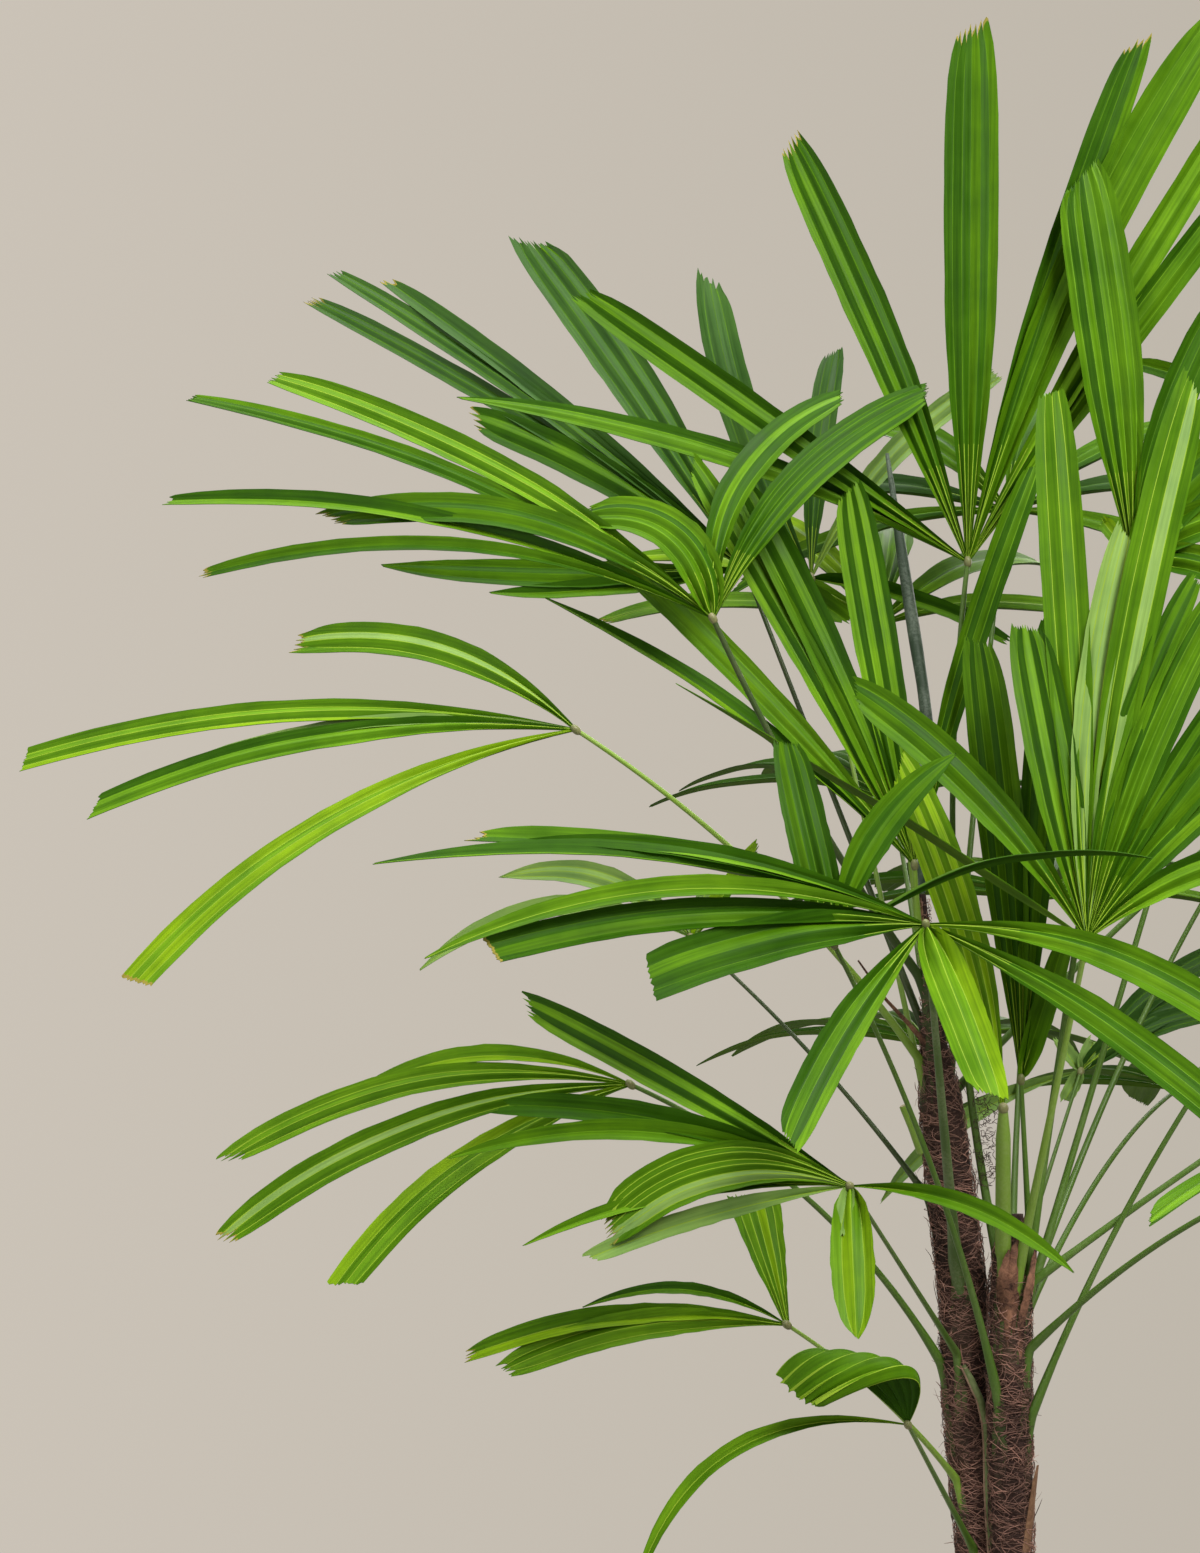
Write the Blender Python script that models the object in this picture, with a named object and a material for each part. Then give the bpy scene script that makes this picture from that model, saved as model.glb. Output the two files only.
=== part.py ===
"""Lady palm: two fibre-clad canes from one root, with fan-shaped fronds, a closed spear and a cut leaf stem.

Metres, +Z up, +X right, -Y toward the viewer. The origin is the middle of the flat cut under the taller cane.
Every frond is one solid: a slender stem, a knuckle, and strap-shaped leaflets that spread from the knuckle.
A frond is laid out as it looks from VIEW_POINT, in millimetres across and up against the plane of the canes,
and its pieces are then moved along the line of sight until they are clear of everything placed before them.
"""

import math
from dataclasses import dataclass, replace

import bmesh
import bpy
from mathutils import Vector
from mathutils.bvhtree import BVHTree

MM = 0.001

VIEW_POINT = Vector((-0.239, -3.0, 0.781))
SEAT_GAP = 0.0003
CLEARANCE = 0.0022

CANE_SIDES = 14
STEM_SIDES = 6
SPEAR_SIDES = 8
KNUCKLE_RADIUS = 0.0062
KNUCKLE_LENGTH = 0.014
LEAF_THICKNESS_RATIO = 0.0105
LEAF_FOLD_RATIO = 0.10
LEAF_PROFILE = ((0.0, 0.14), (0.2, 0.42), (0.5, 1.0), (0.86, 0.9), (1.0, 0.42))

MOST_LEAN = 0.6

STEM_PROFILE = ((0.0, 1.35), (0.3, 1.1), (0.65, 1.0))
KNUCKLE_TO_STEM = 1.5
KNUCKLE_END = 0.55

SPRAY_STEM_RADIUS = 2.8
SPRAY_STEM_BOW = 20.0
SPRAY_SHORTENING = 0.3
SPRAY_DROP = 0.16
SPRAY_BOW = 0.09
SPRAY_WIDTH = 34.0
SPRAY_NARROWING = 11.0
SPRAY_SHORTENING_POWER = 1.5

LEAF_DODGE_STEP = 0.012
LEAF_DODGES = 15
STEM_DODGE_STEP = 0.007
STEM_DODGES = 6
BEARING_STEP = 14.0
BEARING_TRIES = 4
SEAT_TRIES = 3

LEAF_GREENS = ((0.040, 0.135, 0.012), (0.060, 0.180, 0.016), (0.028, 0.098, 0.012), (0.100, 0.230, 0.022))
CANE_BROWN = (0.058, 0.026, 0.018)
SPEAR_GREEN = (0.070, 0.110, 0.060)
LEAF_ROUGHNESS = 0.35
FIBRE_ROUGHNESS = 0.9
SPEAR_ROUGHNESS = 0.5

# Height, across, toward the viewer and radius of each cane from its foot to its tip, in mm.
CANES = {
    "cane_tall": (
        (0, 0, 0, 19),
        (14, 0, 0, 17),
        (40, -1, 0, 14.6),
        (300, -3, 0, 14),
        (395, -12, 0, 14),
        (460, -14, 0, 14),
        (530, -22, 0, 14),
        (580, -28, 0, 12),
        (612, -31, 0, 8),
        (645, -34, 0, 4.4),
        (708, -40, 0, 3),
    ),
    "cane_short": (
        (0, 37, 12, 17),
        (14, 36, 13, 15.4),
        (40, 34, 15, 13.2),
        (160, 23, 21, 12.8),
        (300, 15, 20, 12.6),
        (400, 13, 23, 12.6),
        (470, 13, 24, 12.2),
        (492, 14, 24, 9.5),
        (512, 18, 24, 3.2),
    ),
}


@dataclass(frozen=True)
class Frond:
    """One frond. Lengths are mm, angles degrees.

    hub is across, up and toward the viewer. face is the turn to the right and the upward tilt of the upper
    side. Each leaflet is across and up from the hub to its tip, how far its middle bows upward, its width, and
    its roll.
    """

    cane: str
    height: float
    hub: tuple
    face: tuple
    leaflets: tuple
    stem_bow: float = 0.0
    stem_radius: float = 2.8
    green: int = 0


@dataclass(frozen=True)
class Spray:
    """One frond of the sides that the viewer doesn't see, its leaflets spread by rule about the heading."""

    cane: str
    height: float
    bearing: float
    reach: float
    hub_height: float
    length: float
    rise: float
    leaflets: int = 7
    spread: float = 105.0
    green: int = 0


FRONDS = {
    "frond_front": Frond(
        "cane_tall", 482, (-37, 689, 185), (5, 30),
        (
            (-286, 55, 15, 16, 20), (-343, 38, 22, 18, 25), (-268, 50, 18, 11, 0), (-311, -21, 31, 14, 0),
            (-272, -17, 14, 22, 0), (-174, -35, 9, 30, 0), (-87, -140, 7, 27, 0), (43, -111, 0, 31, 0),
            (222, -154, 12, 24, 0), (238, -104, 26, 24, 0),
        ),
        stem_radius=4.2, green=1,
    ),
    "frond_middle": Frond(
        "cane_tall", 425, (-84, 527, 200), (-8, 22),
        (
            (-206, 116, 2, 20, 0), (-250, 17, 24, 13, 0), (-224, 50, 14, 16, 0), (-155, -32, 26, 38, 0),
            (-165, -46, 6, 13, 0), (-203, -37, 14, 10, 0), (4, -95, 0, 26, 0), (139, -54, 14, 15, 0),
            (-7, -31, 0, 10, 0),
        ),
        stem_radius=2.4, green=1,
    ),
    "frond_lowest": Frond(
        "cane_tall", 305, (-48, 379, 150), (-10, 25),
        ((-79, 28, 24, 48, 0), (-172, -110, 43, 13, 0), (-30, 62, 6, 23, 0)),
        stem_radius=2.6, green=0,
    ),
    "frond_low": Frond(
        "cane_tall", 347, (-123, 441, 120), (-10, 30),
        ((-127, 11, 16, 13, 0), (-201, -20, 20, 17, 0), (-179, -30, 22, 22, 0), (-22, 83, 0, 24, 0)),
        stem_bow=6, stem_radius=2.4, green=3,
    ),
    "frond_right_front": Frond(
        "cane_short", 484, (63, 680, 130), (-4, 12),
        (
            (-255, 159, 2, 14, 80), (-149, 158, 13, 25, 0), (-38, 198, 0, 32, 0), (-22, 341, 0, 28, 0),
            (25, 258, 11, 21, 0), (68, 353, 7, 28, 0), (69, 227, 12, 21, 0), (86, 216, 8, 34, 0),
            (102, 172, 6, 21, 0), (114, 148, 6, 21, 0), (126, 120, 8, 20, 0), (150, 55, 16, 21, 0),
        ),
        stem_radius=3.4, green=0,
    ),
    "frond_young": Frond(
        "cane_short", 490, (11, 575, 75), (0, 5),
        ((-68, 222, 9, 27, 0),),
        stem_radius=4.2, green=3,
    ),
    "frond_upright": Frond(
        "cane_short", 480, (22, 593, 45), (0, 8),
        ((-27, 277, 3, 29, 0), (20, 298, 0, 24, 0), (28, 89, 0, 15, 0)),
        green=0,
    ),
    "frond_inner_left": Frond(
        "cane_short", 410, (-94, 677, 160), (0, 15),
        ((-30, 129, 0, 29, 0), (76, 118, 14, 27, 0), (198, 53, 23, 16, 40)),
        stem_bow=9, green=1,
    ),
    "frond_newest": Frond(
        "cane_tall", 688, (-44, 726, 10), (0, 10),
        (
            (-229, 166, 13, 13, 30), (-204, 211, 6, 20, 0), (-141, 254, 4, 19, 0), (-110, 242, 5, 24, 0),
            (-41, 238, 0, 28, 0), (76, 252, 6, 18, 0),
        ),
        stem_radius=3.0, green=3,
    ),
    "frond_far_left": Frond(
        "cane_tall", 606, (-254, 810, 70), (-10, 38),
        (
            (-177, 53, 22, 24, 0), (-345, -20, 20, 19, 0), (-304, -51, 20, 20, 0), (-242, -22, 15, 10, 0),
            (-275, -159, 26, 19, 0),
        ),
        stem_bow=14, green=3,
    ),
    "frond_left": Frond(
        "cane_tall", 660, (-169, 879, 30), (-6, 32),
        (
            (-85, 62, 28, 29, 0), (-246, 60, 32, 22, 0), (-341, 73, 25, 17, 0), (-319, 27, 40, 17, 0),
            (-325, 137, 20, 20, 0), (-274, 150, 17, 24, 0), (137, 141, 20, 36, 0), (83, 138, 29, 29, 0),
        ),
        stem_bow=-6, stem_radius=3.4, green=2,
    ),
    "frond_lower_left": Frond(
        "cane_tall", 420, (-220, 590, 65), (-8, 35),
        ((-186, -16, 26, 12, 0), (-255, -50, 26, 19, 0), (-255, -98, 23, 22, 0), (-180, -128, 18, 24, 0)),
        stem_bow=20, green=1,
    ),
    "frond_top": Frond(
        "cane_short", 478, (-11, 914, -35), (0, 5),
        (
            (-243, 169, 0, 23, 0), (-317, 102, 17, 21, 30), (-112, 265, 4, 30, 0), (3, 338, 0, 35, 0),
            (109, 330, 4, 24, 0), (160, 344, 15, 32, 0), (190, 316, 3, 21, 0), (183, 250, 3, 21, 0),
        ),
        stem_bow=-18, stem_radius=3.2, green=0,
    ),
    "frond_upper_right": Frond(
        "cane_short", 488, (91, 916, -8), (4, 9),
        (
            (-32, 247, 2, 42, 0), (58, 162, 8, 24, 0), (98, 91, 10, 33, 0), (-20, 26, 0, 11, 0),
            (125, 25, 16, 26, 0), (100, -50, 18, 22, 0),
        ),
        stem_radius=3.0, green=3,
    ),
    "frond_back_left": Frond(
        "cane_tall", 521, (-182, 681, -60), (-10, 30),
        ((-169, -20, 29, 15, 0), (-120, 37, 19, 18, 0), (43, 60, 0, 12, 0), (10, 34, 0, 10, 0)),
        stem_bow=6, stem_radius=2.2, green=3,
    ),
    "frond_dark_left": Frond(
        "cane_tall", 630, (-149, 910, -85), (-8, 25),
        (
            (-257, 185, 8, 22, 0), (-224, 180, 6, 18, 0), (-140, 211, 6, 32, 0), (-173, 95, 8, 25, 0),
            (-226, 2, -5, 20, 0), (-159, -15, -4, 14, 0), (66, -35, 4, 16, 0),
        ),
        stem_radius=2.8, green=2,
    ),
    "frond_pale_back": Frond(
        "cane_tall", 566, (-108, 904, -150), (0, 25),
        ((15, 144, 4, 19, 0), (-64, 192, -11, 26, 0), (117, 127, 15, 17, 0), (123, -40, 8, 12, 0)),
        stem_radius=2.4, green=3,
    ),
    "frond_back_right": Frond(
        "cane_short", 474, (59, 598, -120), (0, 28),
        (
            (-125, -82, 15, 13, 0), (-11, -20, 0, 10, 0), (-15, 22, 0, 10, 0), (9, 22, 0, 10, 0),
            (99, 79, 10, 18, 0), (110, 56, 10, 18, 0), (104, 36, 12, 16, 0),
        ),
        stem_radius=2.2, green=1,
    ),
    "frond_right_low": Frond(
        "cane_short", 392, (205, 690, 110), (12, 24),
        (
            (330, -40, 34, 23, 0), (305, 55, 24, 25, 0), (235, 140, 15, 29, 0), (135, 215, 8, 31, 0),
            (280, -125, 36, 23, 0), (190, -185, 32, 23, 0), (30, 235, 2, 27, 0),
        ),
        stem_bow=8, green=0,
    ),
    "frond_right_far": Frond(
        "cane_short", 470, (300, 650, 10), (14, 28),
        (
            (300, 90, 22, 25, 0), (215, 175, 12, 27, 0), (330, -20, 34, 23, 0), (290, -115, 38, 23, 0),
            (205, -190, 34, 22, 0), (110, 225, 4, 25, 0),
        ),
        stem_bow=4, green=1,
    ),
    "frond_right_high": Frond(
        "cane_tall", 586, (255, 835, -50), (14, 18),
        (
            (320, 60, 26, 25, 0), (275, 150, 18, 27, 0), (190, 225, 8, 31, 0), (85, 270, 4, 31, 0),
            (325, -45, 38, 23, 0), (240, -140, 38, 23, 0),
        ),
        stem_bow=6, green=2,
    ),
    "frond_right_top": Frond(
        "cane_short", 460, (185, 985, -90), (10, 9),
        (
            (280, 120, 20, 26, 0), (215, 200, 12, 29, 0), (120, 250, 6, 31, 0), (15, 245, 2, 28, 0),
            (-96, 53, 10, 13, 0), (300, 20, 30, 24, 0), (240, -80, 34, 22, 0),
        ),
        green=0,
    ),
}

SPRAYS = {
    "frond_rear_low": Spray("cane_tall", 455, 91, 240, 600, 270, 0.10, leaflets=6, spread=54, green=1),
    "frond_rear_low_right": Spray("cane_short", 440, 58, 240, 575, 265, 0.06, spread=95, green=0),
    "frond_rear_left": Spray("cane_tall", 545, 95, 235, 765, 275, 0.22, leaflets=6, spread=52, green=2),
    "frond_rear_middle": Spray("cane_short", 466, 80, 215, 700, 280, 0.18, spread=90, green=0),
    "frond_rear_right": Spray("cane_short", 452, 36, 240, 790, 280, 0.20, green=1),
    "frond_rear_high": Spray("cane_tall", 598, 100, 160, 880, 270, 0.55, leaflets=6, spread=70, green=3),
    "frond_rear_top": Spray("cane_tall", 574, 72, 175, 955, 265, 0.60, green=2),
    "frond_front_right": Spray("cane_short", 430, -38, 250, 560, 260, 0.05, green=1),
}

PLANS = {**FRONDS, **SPRAYS}

SPEAR_PATH = ((-40, 708.6, 0), (-40, 722, -1), (-33, 800, -40), (-49, 900, -105), (-61, 981, -150))
SPEAR_RADII = (2.6, 3.0, 3.9, 4.1, 1.2)

CUT_STEM_HEIGHT = 550
CUT_STEM_BEARING = 200
CUT_STEM_LENGTH = 30
CUT_STEM_LEAN = 24
CUT_STEM_RADII = (3.5, 2.6, 2.6)


@dataclass(frozen=True)
class Leaflet:
    """A strap from its frond's knuckle to its tip, in metres. lift is how far its middle is off the chord."""

    hub: Vector
    tip: Vector
    lift: Vector
    upper: Vector
    width: float
    roll: float
    dodge: Vector

    def along(self, share):
        """The point at this share of the centre line, and the line's direction there."""
        control = (self.hub + self.tip) / 2 + self.lift * 2
        direction = ((control - self.hub) * (1 - share) + (self.tip - control) * share).normalized()
        return bezier(self.hub, control, self.tip, share), direction

    def frame(self, share):
        """Point, upper side's normal and sideways direction at this share of the centre line."""
        centre, direction = self.along(share)
        upper = (self.upper - direction * self.upper.dot(direction)).normalized()
        side = direction.cross(upper)
        turn = math.radians(self.roll)
        turned = upper * math.cos(turn) + side * math.sin(turn)
        return centre, turned, side * math.cos(turn) - upper * math.sin(turn)

    def shell(self, swell=0.0):
        """The strap folded along its midrib and cut off blunt at the tip, thicker on every side by swell."""
        half_thickness = (self.tip - self.hub).length * LEAF_THICKNESS_RATIO / 2 + swell
        rings = []
        for share, width_share in LEAF_PROFILE:
            centre, upper, side = self.frame(share)
            half = self.width * width_share / 2 + swell
            fold = upper * self.width * width_share * LEAF_FOLD_RATIO
            rings.append([
                centre + upper * half_thickness,
                centre - side * half + fold,
                centre - upper * half_thickness,
                centre + side * half + fold,
            ])
        return loft(rings)


@dataclass(frozen=True)
class Stem:
    """A frond's stem from its foot at the cane to its knuckle, in metres. bow moves its middle off the chord."""

    foot: Vector
    hub: Vector
    bow: Vector
    radius: float

    def shell(self, swell=0.0):
        """The stem, widest at its foot, with the knuckle from which the leaflets spread."""
        bend = (self.foot + self.hub) / 2 + self.bow * 2
        below_knuckle = 1 - KNUCKLE_LENGTH / (self.hub - self.foot).length
        profile = (*STEM_PROFILE, (below_knuckle, 1.0))
        path = [bezier(self.foot, bend, self.hub, share) for share, _ in profile]
        radii = [self.radius * radius_share for _, radius_share in profile]
        knuckle = max(KNUCKLE_RADIUS, self.radius * KNUCKLE_TO_STEM)
        path += [self.hub, self.hub + (self.hub - path[-1]).normalized() * KNUCKLE_RADIUS]
        radii += [knuckle, knuckle * KNUCKLE_END]
        return tube(path, [size + swell for size in radii], STEM_SIDES)


def clear_scene():
    for obj in list(bpy.data.objects):
        bpy.data.objects.remove(obj)


def seen(across, up, toward):
    """The point that looks to stand at (across, up) on the canes' plane, brought that much toward the viewer."""
    on_plane = Vector((across * MM, 0.0, up * MM))
    return on_plane + (VIEW_POINT - on_plane) * (-toward * MM / VIEW_POINT.y)


def facing(turn, tilt):
    """Unit vector toward the viewer, turned to the right and tilted up by these angles."""
    turn, tilt = math.radians(turn), math.radians(tilt)
    return Vector((math.sin(turn) * math.cos(tilt), -math.cos(turn) * math.cos(tilt), math.sin(tilt)))


def toward_bearing(bearing):
    """Level unit vector: 0 is to the right, 90 away from the viewer."""
    bearing = math.radians(bearing)
    return Vector((math.cos(bearing), math.sin(bearing), 0.0))


def raised(run, height):
    """Vector of this length square to run as the viewer sees it, on its upper side."""
    square = Vector((-run.z, 0.0, run.x)).normalized()
    return square * (height if square.z >= 0 else -height)


def bezier(start, control, end, share):
    return start * (1 - share) ** 2 + control * 2 * share * (1 - share) + end * share**2


def cane_at(name, height):
    """Centre and radius of a cane at this height in mm, on straight lines between its rows."""
    rows = CANES[name]
    for low, high in zip(rows, rows[1:]):
        if height <= high[0]:
            share = (height - low[0]) / (high[0] - low[0])
            _, across, toward, radius = (a + (b - a) * share for a, b in zip(low, high))
            return Vector((across * MM, -toward * MM, height * MM)), radius * MM
    raise ValueError(f"{height} mm is above the tip of {name}")


class Shell:
    """Points and triangles of one closed surface that faces out."""

    def __init__(self, points, triangles):
        volume = sum(points[a].dot(points[b].cross(points[c])) for a, b, c in triangles)
        self.points = points
        self.triangles = triangles if volume > 0 else [face[::-1] for face in triangles]
        self.low = Vector(tuple(min(p[i] for p in points) for i in range(3)))
        self.high = Vector(tuple(max(p[i] for p in points) for i in range(3)))
        self.tree = BVHTree.FromPolygons(points, self.triangles)

    def touches(self, other):
        apart = any(self.low[i] > other.high[i] or other.low[i] > self.high[i] for i in range(3))
        return not apart and bool(self.tree.overlap(other.tree))

    def gap_to(self, other):
        return min(other.tree.find_nearest(point)[3] for point in self.points)


def loft(rings):
    """A shell of rings with equal numbers of points, closed at both ends."""
    sides = len(rings[0])
    points = [point for ring in rings for point in ring]
    triangles = []
    for level in range(len(rings) - 1):
        for side in range(sides):
            low, low_next = level * sides + side, level * sides + (side + 1) % sides
            triangles.append((low, low_next, low_next + sides))
            triangles.append((low, low_next + sides, low + sides))
    last = len(points) - sides
    for side in range(1, sides - 1):
        triangles.append((side + 1, side, 0))
        triangles.append((last, last + side, last + side + 1))
    return Shell(points, triangles)


def tube(path, radii, sides):
    """A tube along path, with its rings square to it."""
    rings = []
    for index, (centre, radius) in enumerate(zip(path, radii)):
        before, after = path[max(index - 1, 0)], path[min(index + 1, len(path) - 1)]
        along = (after - before).normalized()
        across = Vector((0, 0, 1)) if abs(along.z) < 0.5 else Vector((1, 0, 0))
        across = (across - along * across.dot(along)).normalized()
        other = along.cross(across)
        rings.append([
            centre + (across * math.cos(angle) + other * math.sin(angle)) * radius
            for angle in (math.tau * side / sides for side in range(sides))
        ])
    return loft(rings)


def cane_shell(rows):
    """A cane with level rings, so that its foot is cut flat on the ground."""
    rings = []
    for height, across, toward, radius in rows:
        centre = Vector((across, -toward, height))
        bearings = (360.0 * side / CANE_SIDES for side in range(CANE_SIDES))
        rings.append([(centre + toward_bearing(bearing) * radius) * MM for bearing in bearings])
    return loft(rings)


def spear_shell():
    return tube([seen(*point) for point in SPEAR_PATH], [radius * MM for radius in SPEAR_RADII], SPEAR_SIDES)


def seated(make_shell, cane, centre, outward, offset):
    """The foot and the shell of a piece made from its foot, SEAT_GAP off the cane."""
    for _ in range(SEAT_TRIES):
        foot = centre + outward * offset
        shell = make_shell(foot)
        offset += SEAT_GAP - shell.gap_to(cane)
    return foot, shell


def cut_stem_shell(cane):
    """The short stub of a stem that was cut off, leaning out from the taller cane."""
    centre, cane_radius = cane_at("cane_tall", CUT_STEM_HEIGHT)
    outward = toward_bearing(CUT_STEM_BEARING)
    lean = math.radians(CUT_STEM_LEAN)
    along = (outward * math.sin(lean) + Vector((0, 0, math.cos(lean)))) * CUT_STEM_LENGTH * MM

    def from_foot(foot):
        path = [foot, foot + along / 2, foot + along]
        return tube(path, [radius * MM for radius in CUT_STEM_RADII], STEM_SIDES)

    return seated(from_foot, cane, centre, outward, cane_radius + 2 * CUT_STEM_RADII[0] * MM)[1]


def spray_hub(spray):
    """The knuckle of a frond made by rule, and the direction in which its leaflets go on."""
    centre, _ = cane_at(spray.cane, spray.height)
    outward = toward_bearing(spray.bearing)
    hub = centre + outward * spray.reach * MM
    hub.z = spray.hub_height * MM
    return hub, (outward + Vector((0, 0, spray.rise))).normalized()


def stem_to_hub(plan):
    """Knuckle, bow and radius of a frond's stem."""
    if isinstance(plan, Spray):
        return spray_hub(plan)[0], Vector((0, 0, SPRAY_STEM_BOW * MM)), SPRAY_STEM_RADIUS * MM
    hub = seen(*plan.hub)
    return hub, raised(hub - cane_at(plan.cane, plan.height)[0], plan.stem_bow * MM), plan.stem_radius * MM


def leaflets_seen(frond):
    """The leaflets of a frond that the viewer sees, laid in the plane of its upper side."""
    upper = facing(*frond.face)
    across, up, toward = frond.hub
    hub = seen(*frond.hub)
    for to_side, to_top, bow, width, roll in frond.leaflets:
        reach = MOST_LEAN * math.hypot(to_side, to_top)
        nearer = (upper.x * to_side + upper.z * to_top) / upper.y
        tip = seen(across + to_side, up + to_top, toward + max(-reach, min(reach, nearer)))
        lift = raised(Vector((to_side, 0.0, to_top)), bow * MM)
        yield Leaflet(hub, tip, lift, upper, width * MM, roll, (tip - VIEW_POINT).normalized())


def leaflets_by_rule(spray):
    """Leaflets spread evenly about the frond's heading, the middle ones longest and widest."""
    hub, heading = spray_hub(spray)
    side = heading.cross(Vector((0, 0, 1))).normalized()
    upper = side.cross(heading)
    for index in range(spray.leaflets):
        place = 2 * index / (spray.leaflets - 1) - 1
        angle = math.radians(spray.spread * place)
        outward = heading * math.cos(angle) + side * math.sin(angle)
        length = spray.length * MM * (1 - SPRAY_SHORTENING * abs(place) ** SPRAY_SHORTENING_POWER)
        tip = hub + outward * length - Vector((0, 0, SPRAY_DROP * length))
        width = (SPRAY_WIDTH - SPRAY_NARROWING * abs(place)) * MM
        yield Leaflet(hub, tip, upper * SPRAY_BOW * length, upper, width, 0.0, upper)


def dodges(step, most):
    """0, then steps to either side, ever wider."""
    yield 0.0
    for count in range(1, most + 1):
        yield step * count
        yield -step * count


def place_stem(name, plan, placed):
    """The first stem clear of all that is placed, over bearings near its knuckle's and bows along the view."""
    cane = placed[plan.cane][0]
    centre, cane_radius = cane_at(plan.cane, plan.height)
    hub, bow, radius = stem_to_hub(plan)
    own_bearing = math.degrees(math.atan2(hub.y - centre.y, hub.x - centre.x))
    others = [shell for other, shells in placed.items() if other != plan.cane for shell in shells]
    for turn in dodges(BEARING_STEP, BEARING_TRIES):
        for shift in dodges(STEM_DODGE_STEP, STEM_DODGES):
            full_bow = bow + Vector((0.0, shift, 0.0))
            foot, shell = seated(
                lambda foot: Stem(foot, hub, full_bow, radius).shell(),
                cane, centre, toward_bearing(own_bearing + turn), cane_radius + 2 * radius,
            )
            stem = Stem(foot, hub, full_bow, radius)
            wide = stem.shell(CLEARANCE / 2)
            if not shell.touches(cane) and not any(wide.touches(other) for other in others):
                return stem
    raise ValueError(f"{name} has no clear way from its cane")


def place_leaflets(name, leaflets, placed):
    """The leaflets of one frond, each moved along its dodge until clear. One with no room is left out."""
    others = [shell for other, shells in placed.items() if other != name for shell in shells]
    for leaflet in leaflets:
        for shift in dodges(LEAF_DODGE_STEP, LEAF_DODGES):
            moved = replace(leaflet, tip=leaflet.tip + leaflet.dodge * shift)
            wide = moved.shell(CLEARANCE)
            if not any(wide.touches(other) for other in others):
                yield moved
                break


def lay_out():
    """{node: its stem and leaflets} for all fronds: stems first, then leaflets, front fronds before rear."""
    placed = {name: [cane_shell(rows)] for name, rows in CANES.items()}
    placed["spear"] = [spear_shell()]
    placed["cut_leaf_stem"] = [cut_stem_shell(placed["cane_tall"][0])]
    fronds = {}
    for name, plan in PLANS.items():
        stem = place_stem(name, plan, placed)
        fronds[name] = [stem]
        placed[name] = [stem.shell()]
    for name, plan in PLANS.items():
        leaflets = leaflets_by_rule(plan) if isinstance(plan, Spray) else leaflets_seen(plan)
        fronds[name] += place_leaflets(name, leaflets, placed)
        placed[name] = [piece.shell() for piece in fronds[name]]
    return fronds, placed


def surface(name, colour, roughness):
    material = bpy.data.materials.new(name)
    material.use_nodes = True
    shader = material.node_tree.nodes["Principled BSDF"]
    shader.inputs["Base Color"].default_value = (*colour, 1.0)
    shader.inputs["Roughness"].default_value = roughness
    shader.inputs["Metallic"].default_value = 0.0
    return material


def mesh_object(name, shell, material):
    mesh = bpy.data.meshes.new(name)
    mesh.from_pydata(shell.points, [], shell.triangles)
    mesh.materials.append(material)
    obj = bpy.data.objects.new(name, mesh)
    bpy.context.scene.collection.objects.link(obj)
    return obj


def shells_of(shape):
    """The faces of a bmesh, as one list for each connected shell."""
    waiting = set(shape.faces)
    while waiting:
        shell = [waiting.pop()]
        for face in shell:
            near = {other for edge in face.edges for other in edge.link_faces} & waiting
            waiting -= near
            shell += near
        yield shell


def keep_outer_shell(mesh):
    """Fill what fusing sealed off and drop loose scraps: only the shell that encloses most is kept."""
    shape = bmesh.new()
    shape.from_mesh(mesh)
    shells = list(shells_of(shape))
    shells.sort(key=lambda shell: sum(f.calc_area() * f.normal.dot(f.calc_center_median()) for f in shell))
    spare = [face for shell in shells[:-1] for face in shell]
    bmesh.ops.delete(shape, geom=spare, context="FACES")
    shape.to_mesh(mesh)
    shape.free()


def fuse(name, shells, material):
    """One object from overlapping shells: a Boolean union of the rest, held in a collection, into the first."""
    obj = mesh_object(name, shells[0], material)
    rest = bpy.data.collections.new(name + "_rest")
    bpy.context.scene.collection.children.link(rest)
    for index, shell in enumerate(shells[1:]):
        piece = mesh_object(f"{name}_{index}", shell, material)
        bpy.context.scene.collection.objects.unlink(piece)
        rest.objects.link(piece)
    union = obj.modifiers.new("union", "BOOLEAN")
    union.operand_type = "COLLECTION"
    union.operation = "UNION"
    union.solver = "MANIFOLD"
    union.collection = rest
    graph = bpy.context.evaluated_depsgraph_get()
    fused = bpy.data.meshes.new_from_object(obj.evaluated_get(graph))
    keep_outer_shell(fused)
    obj.modifiers.clear()
    obj.data = fused
    for piece in list(rest.objects):
        bpy.data.objects.remove(piece)
    bpy.data.collections.remove(rest)


def main():
    clear_scene()
    greens = [
        surface(f"leaf_green_{index + 1}", colour, LEAF_ROUGHNESS) for index, colour in enumerate(LEAF_GREENS)
    ]
    fibre = surface("cane_fibre", CANE_BROWN, FIBRE_ROUGHNESS)
    spear_green = surface("spear_green", SPEAR_GREEN, SPEAR_ROUGHNESS)
    for name, shells in lay_out()[1].items():
        if name in PLANS:
            fuse(name, shells, greens[PLANS[name].green])
        else:
            mesh_object(name, shells[0], fibre if name in CANES else spear_green)


if __name__ == "__main__":
    main()
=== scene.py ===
"""Looks of a lady palm: fans of pleated strap leaflets on slender stems, and two canes clad in brown fibre.

Metres, +Z up, -Y toward the viewer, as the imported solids. The leaflets and stems are laid out again by the
rule that placed the solids, and each is then drawn finer inside the same reach.
"""

import math
from dataclasses import dataclass, replace
from functools import lru_cache

import bpy
import numpy as np
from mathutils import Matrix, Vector
from mathutils.bvhtree import BVHTree


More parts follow.
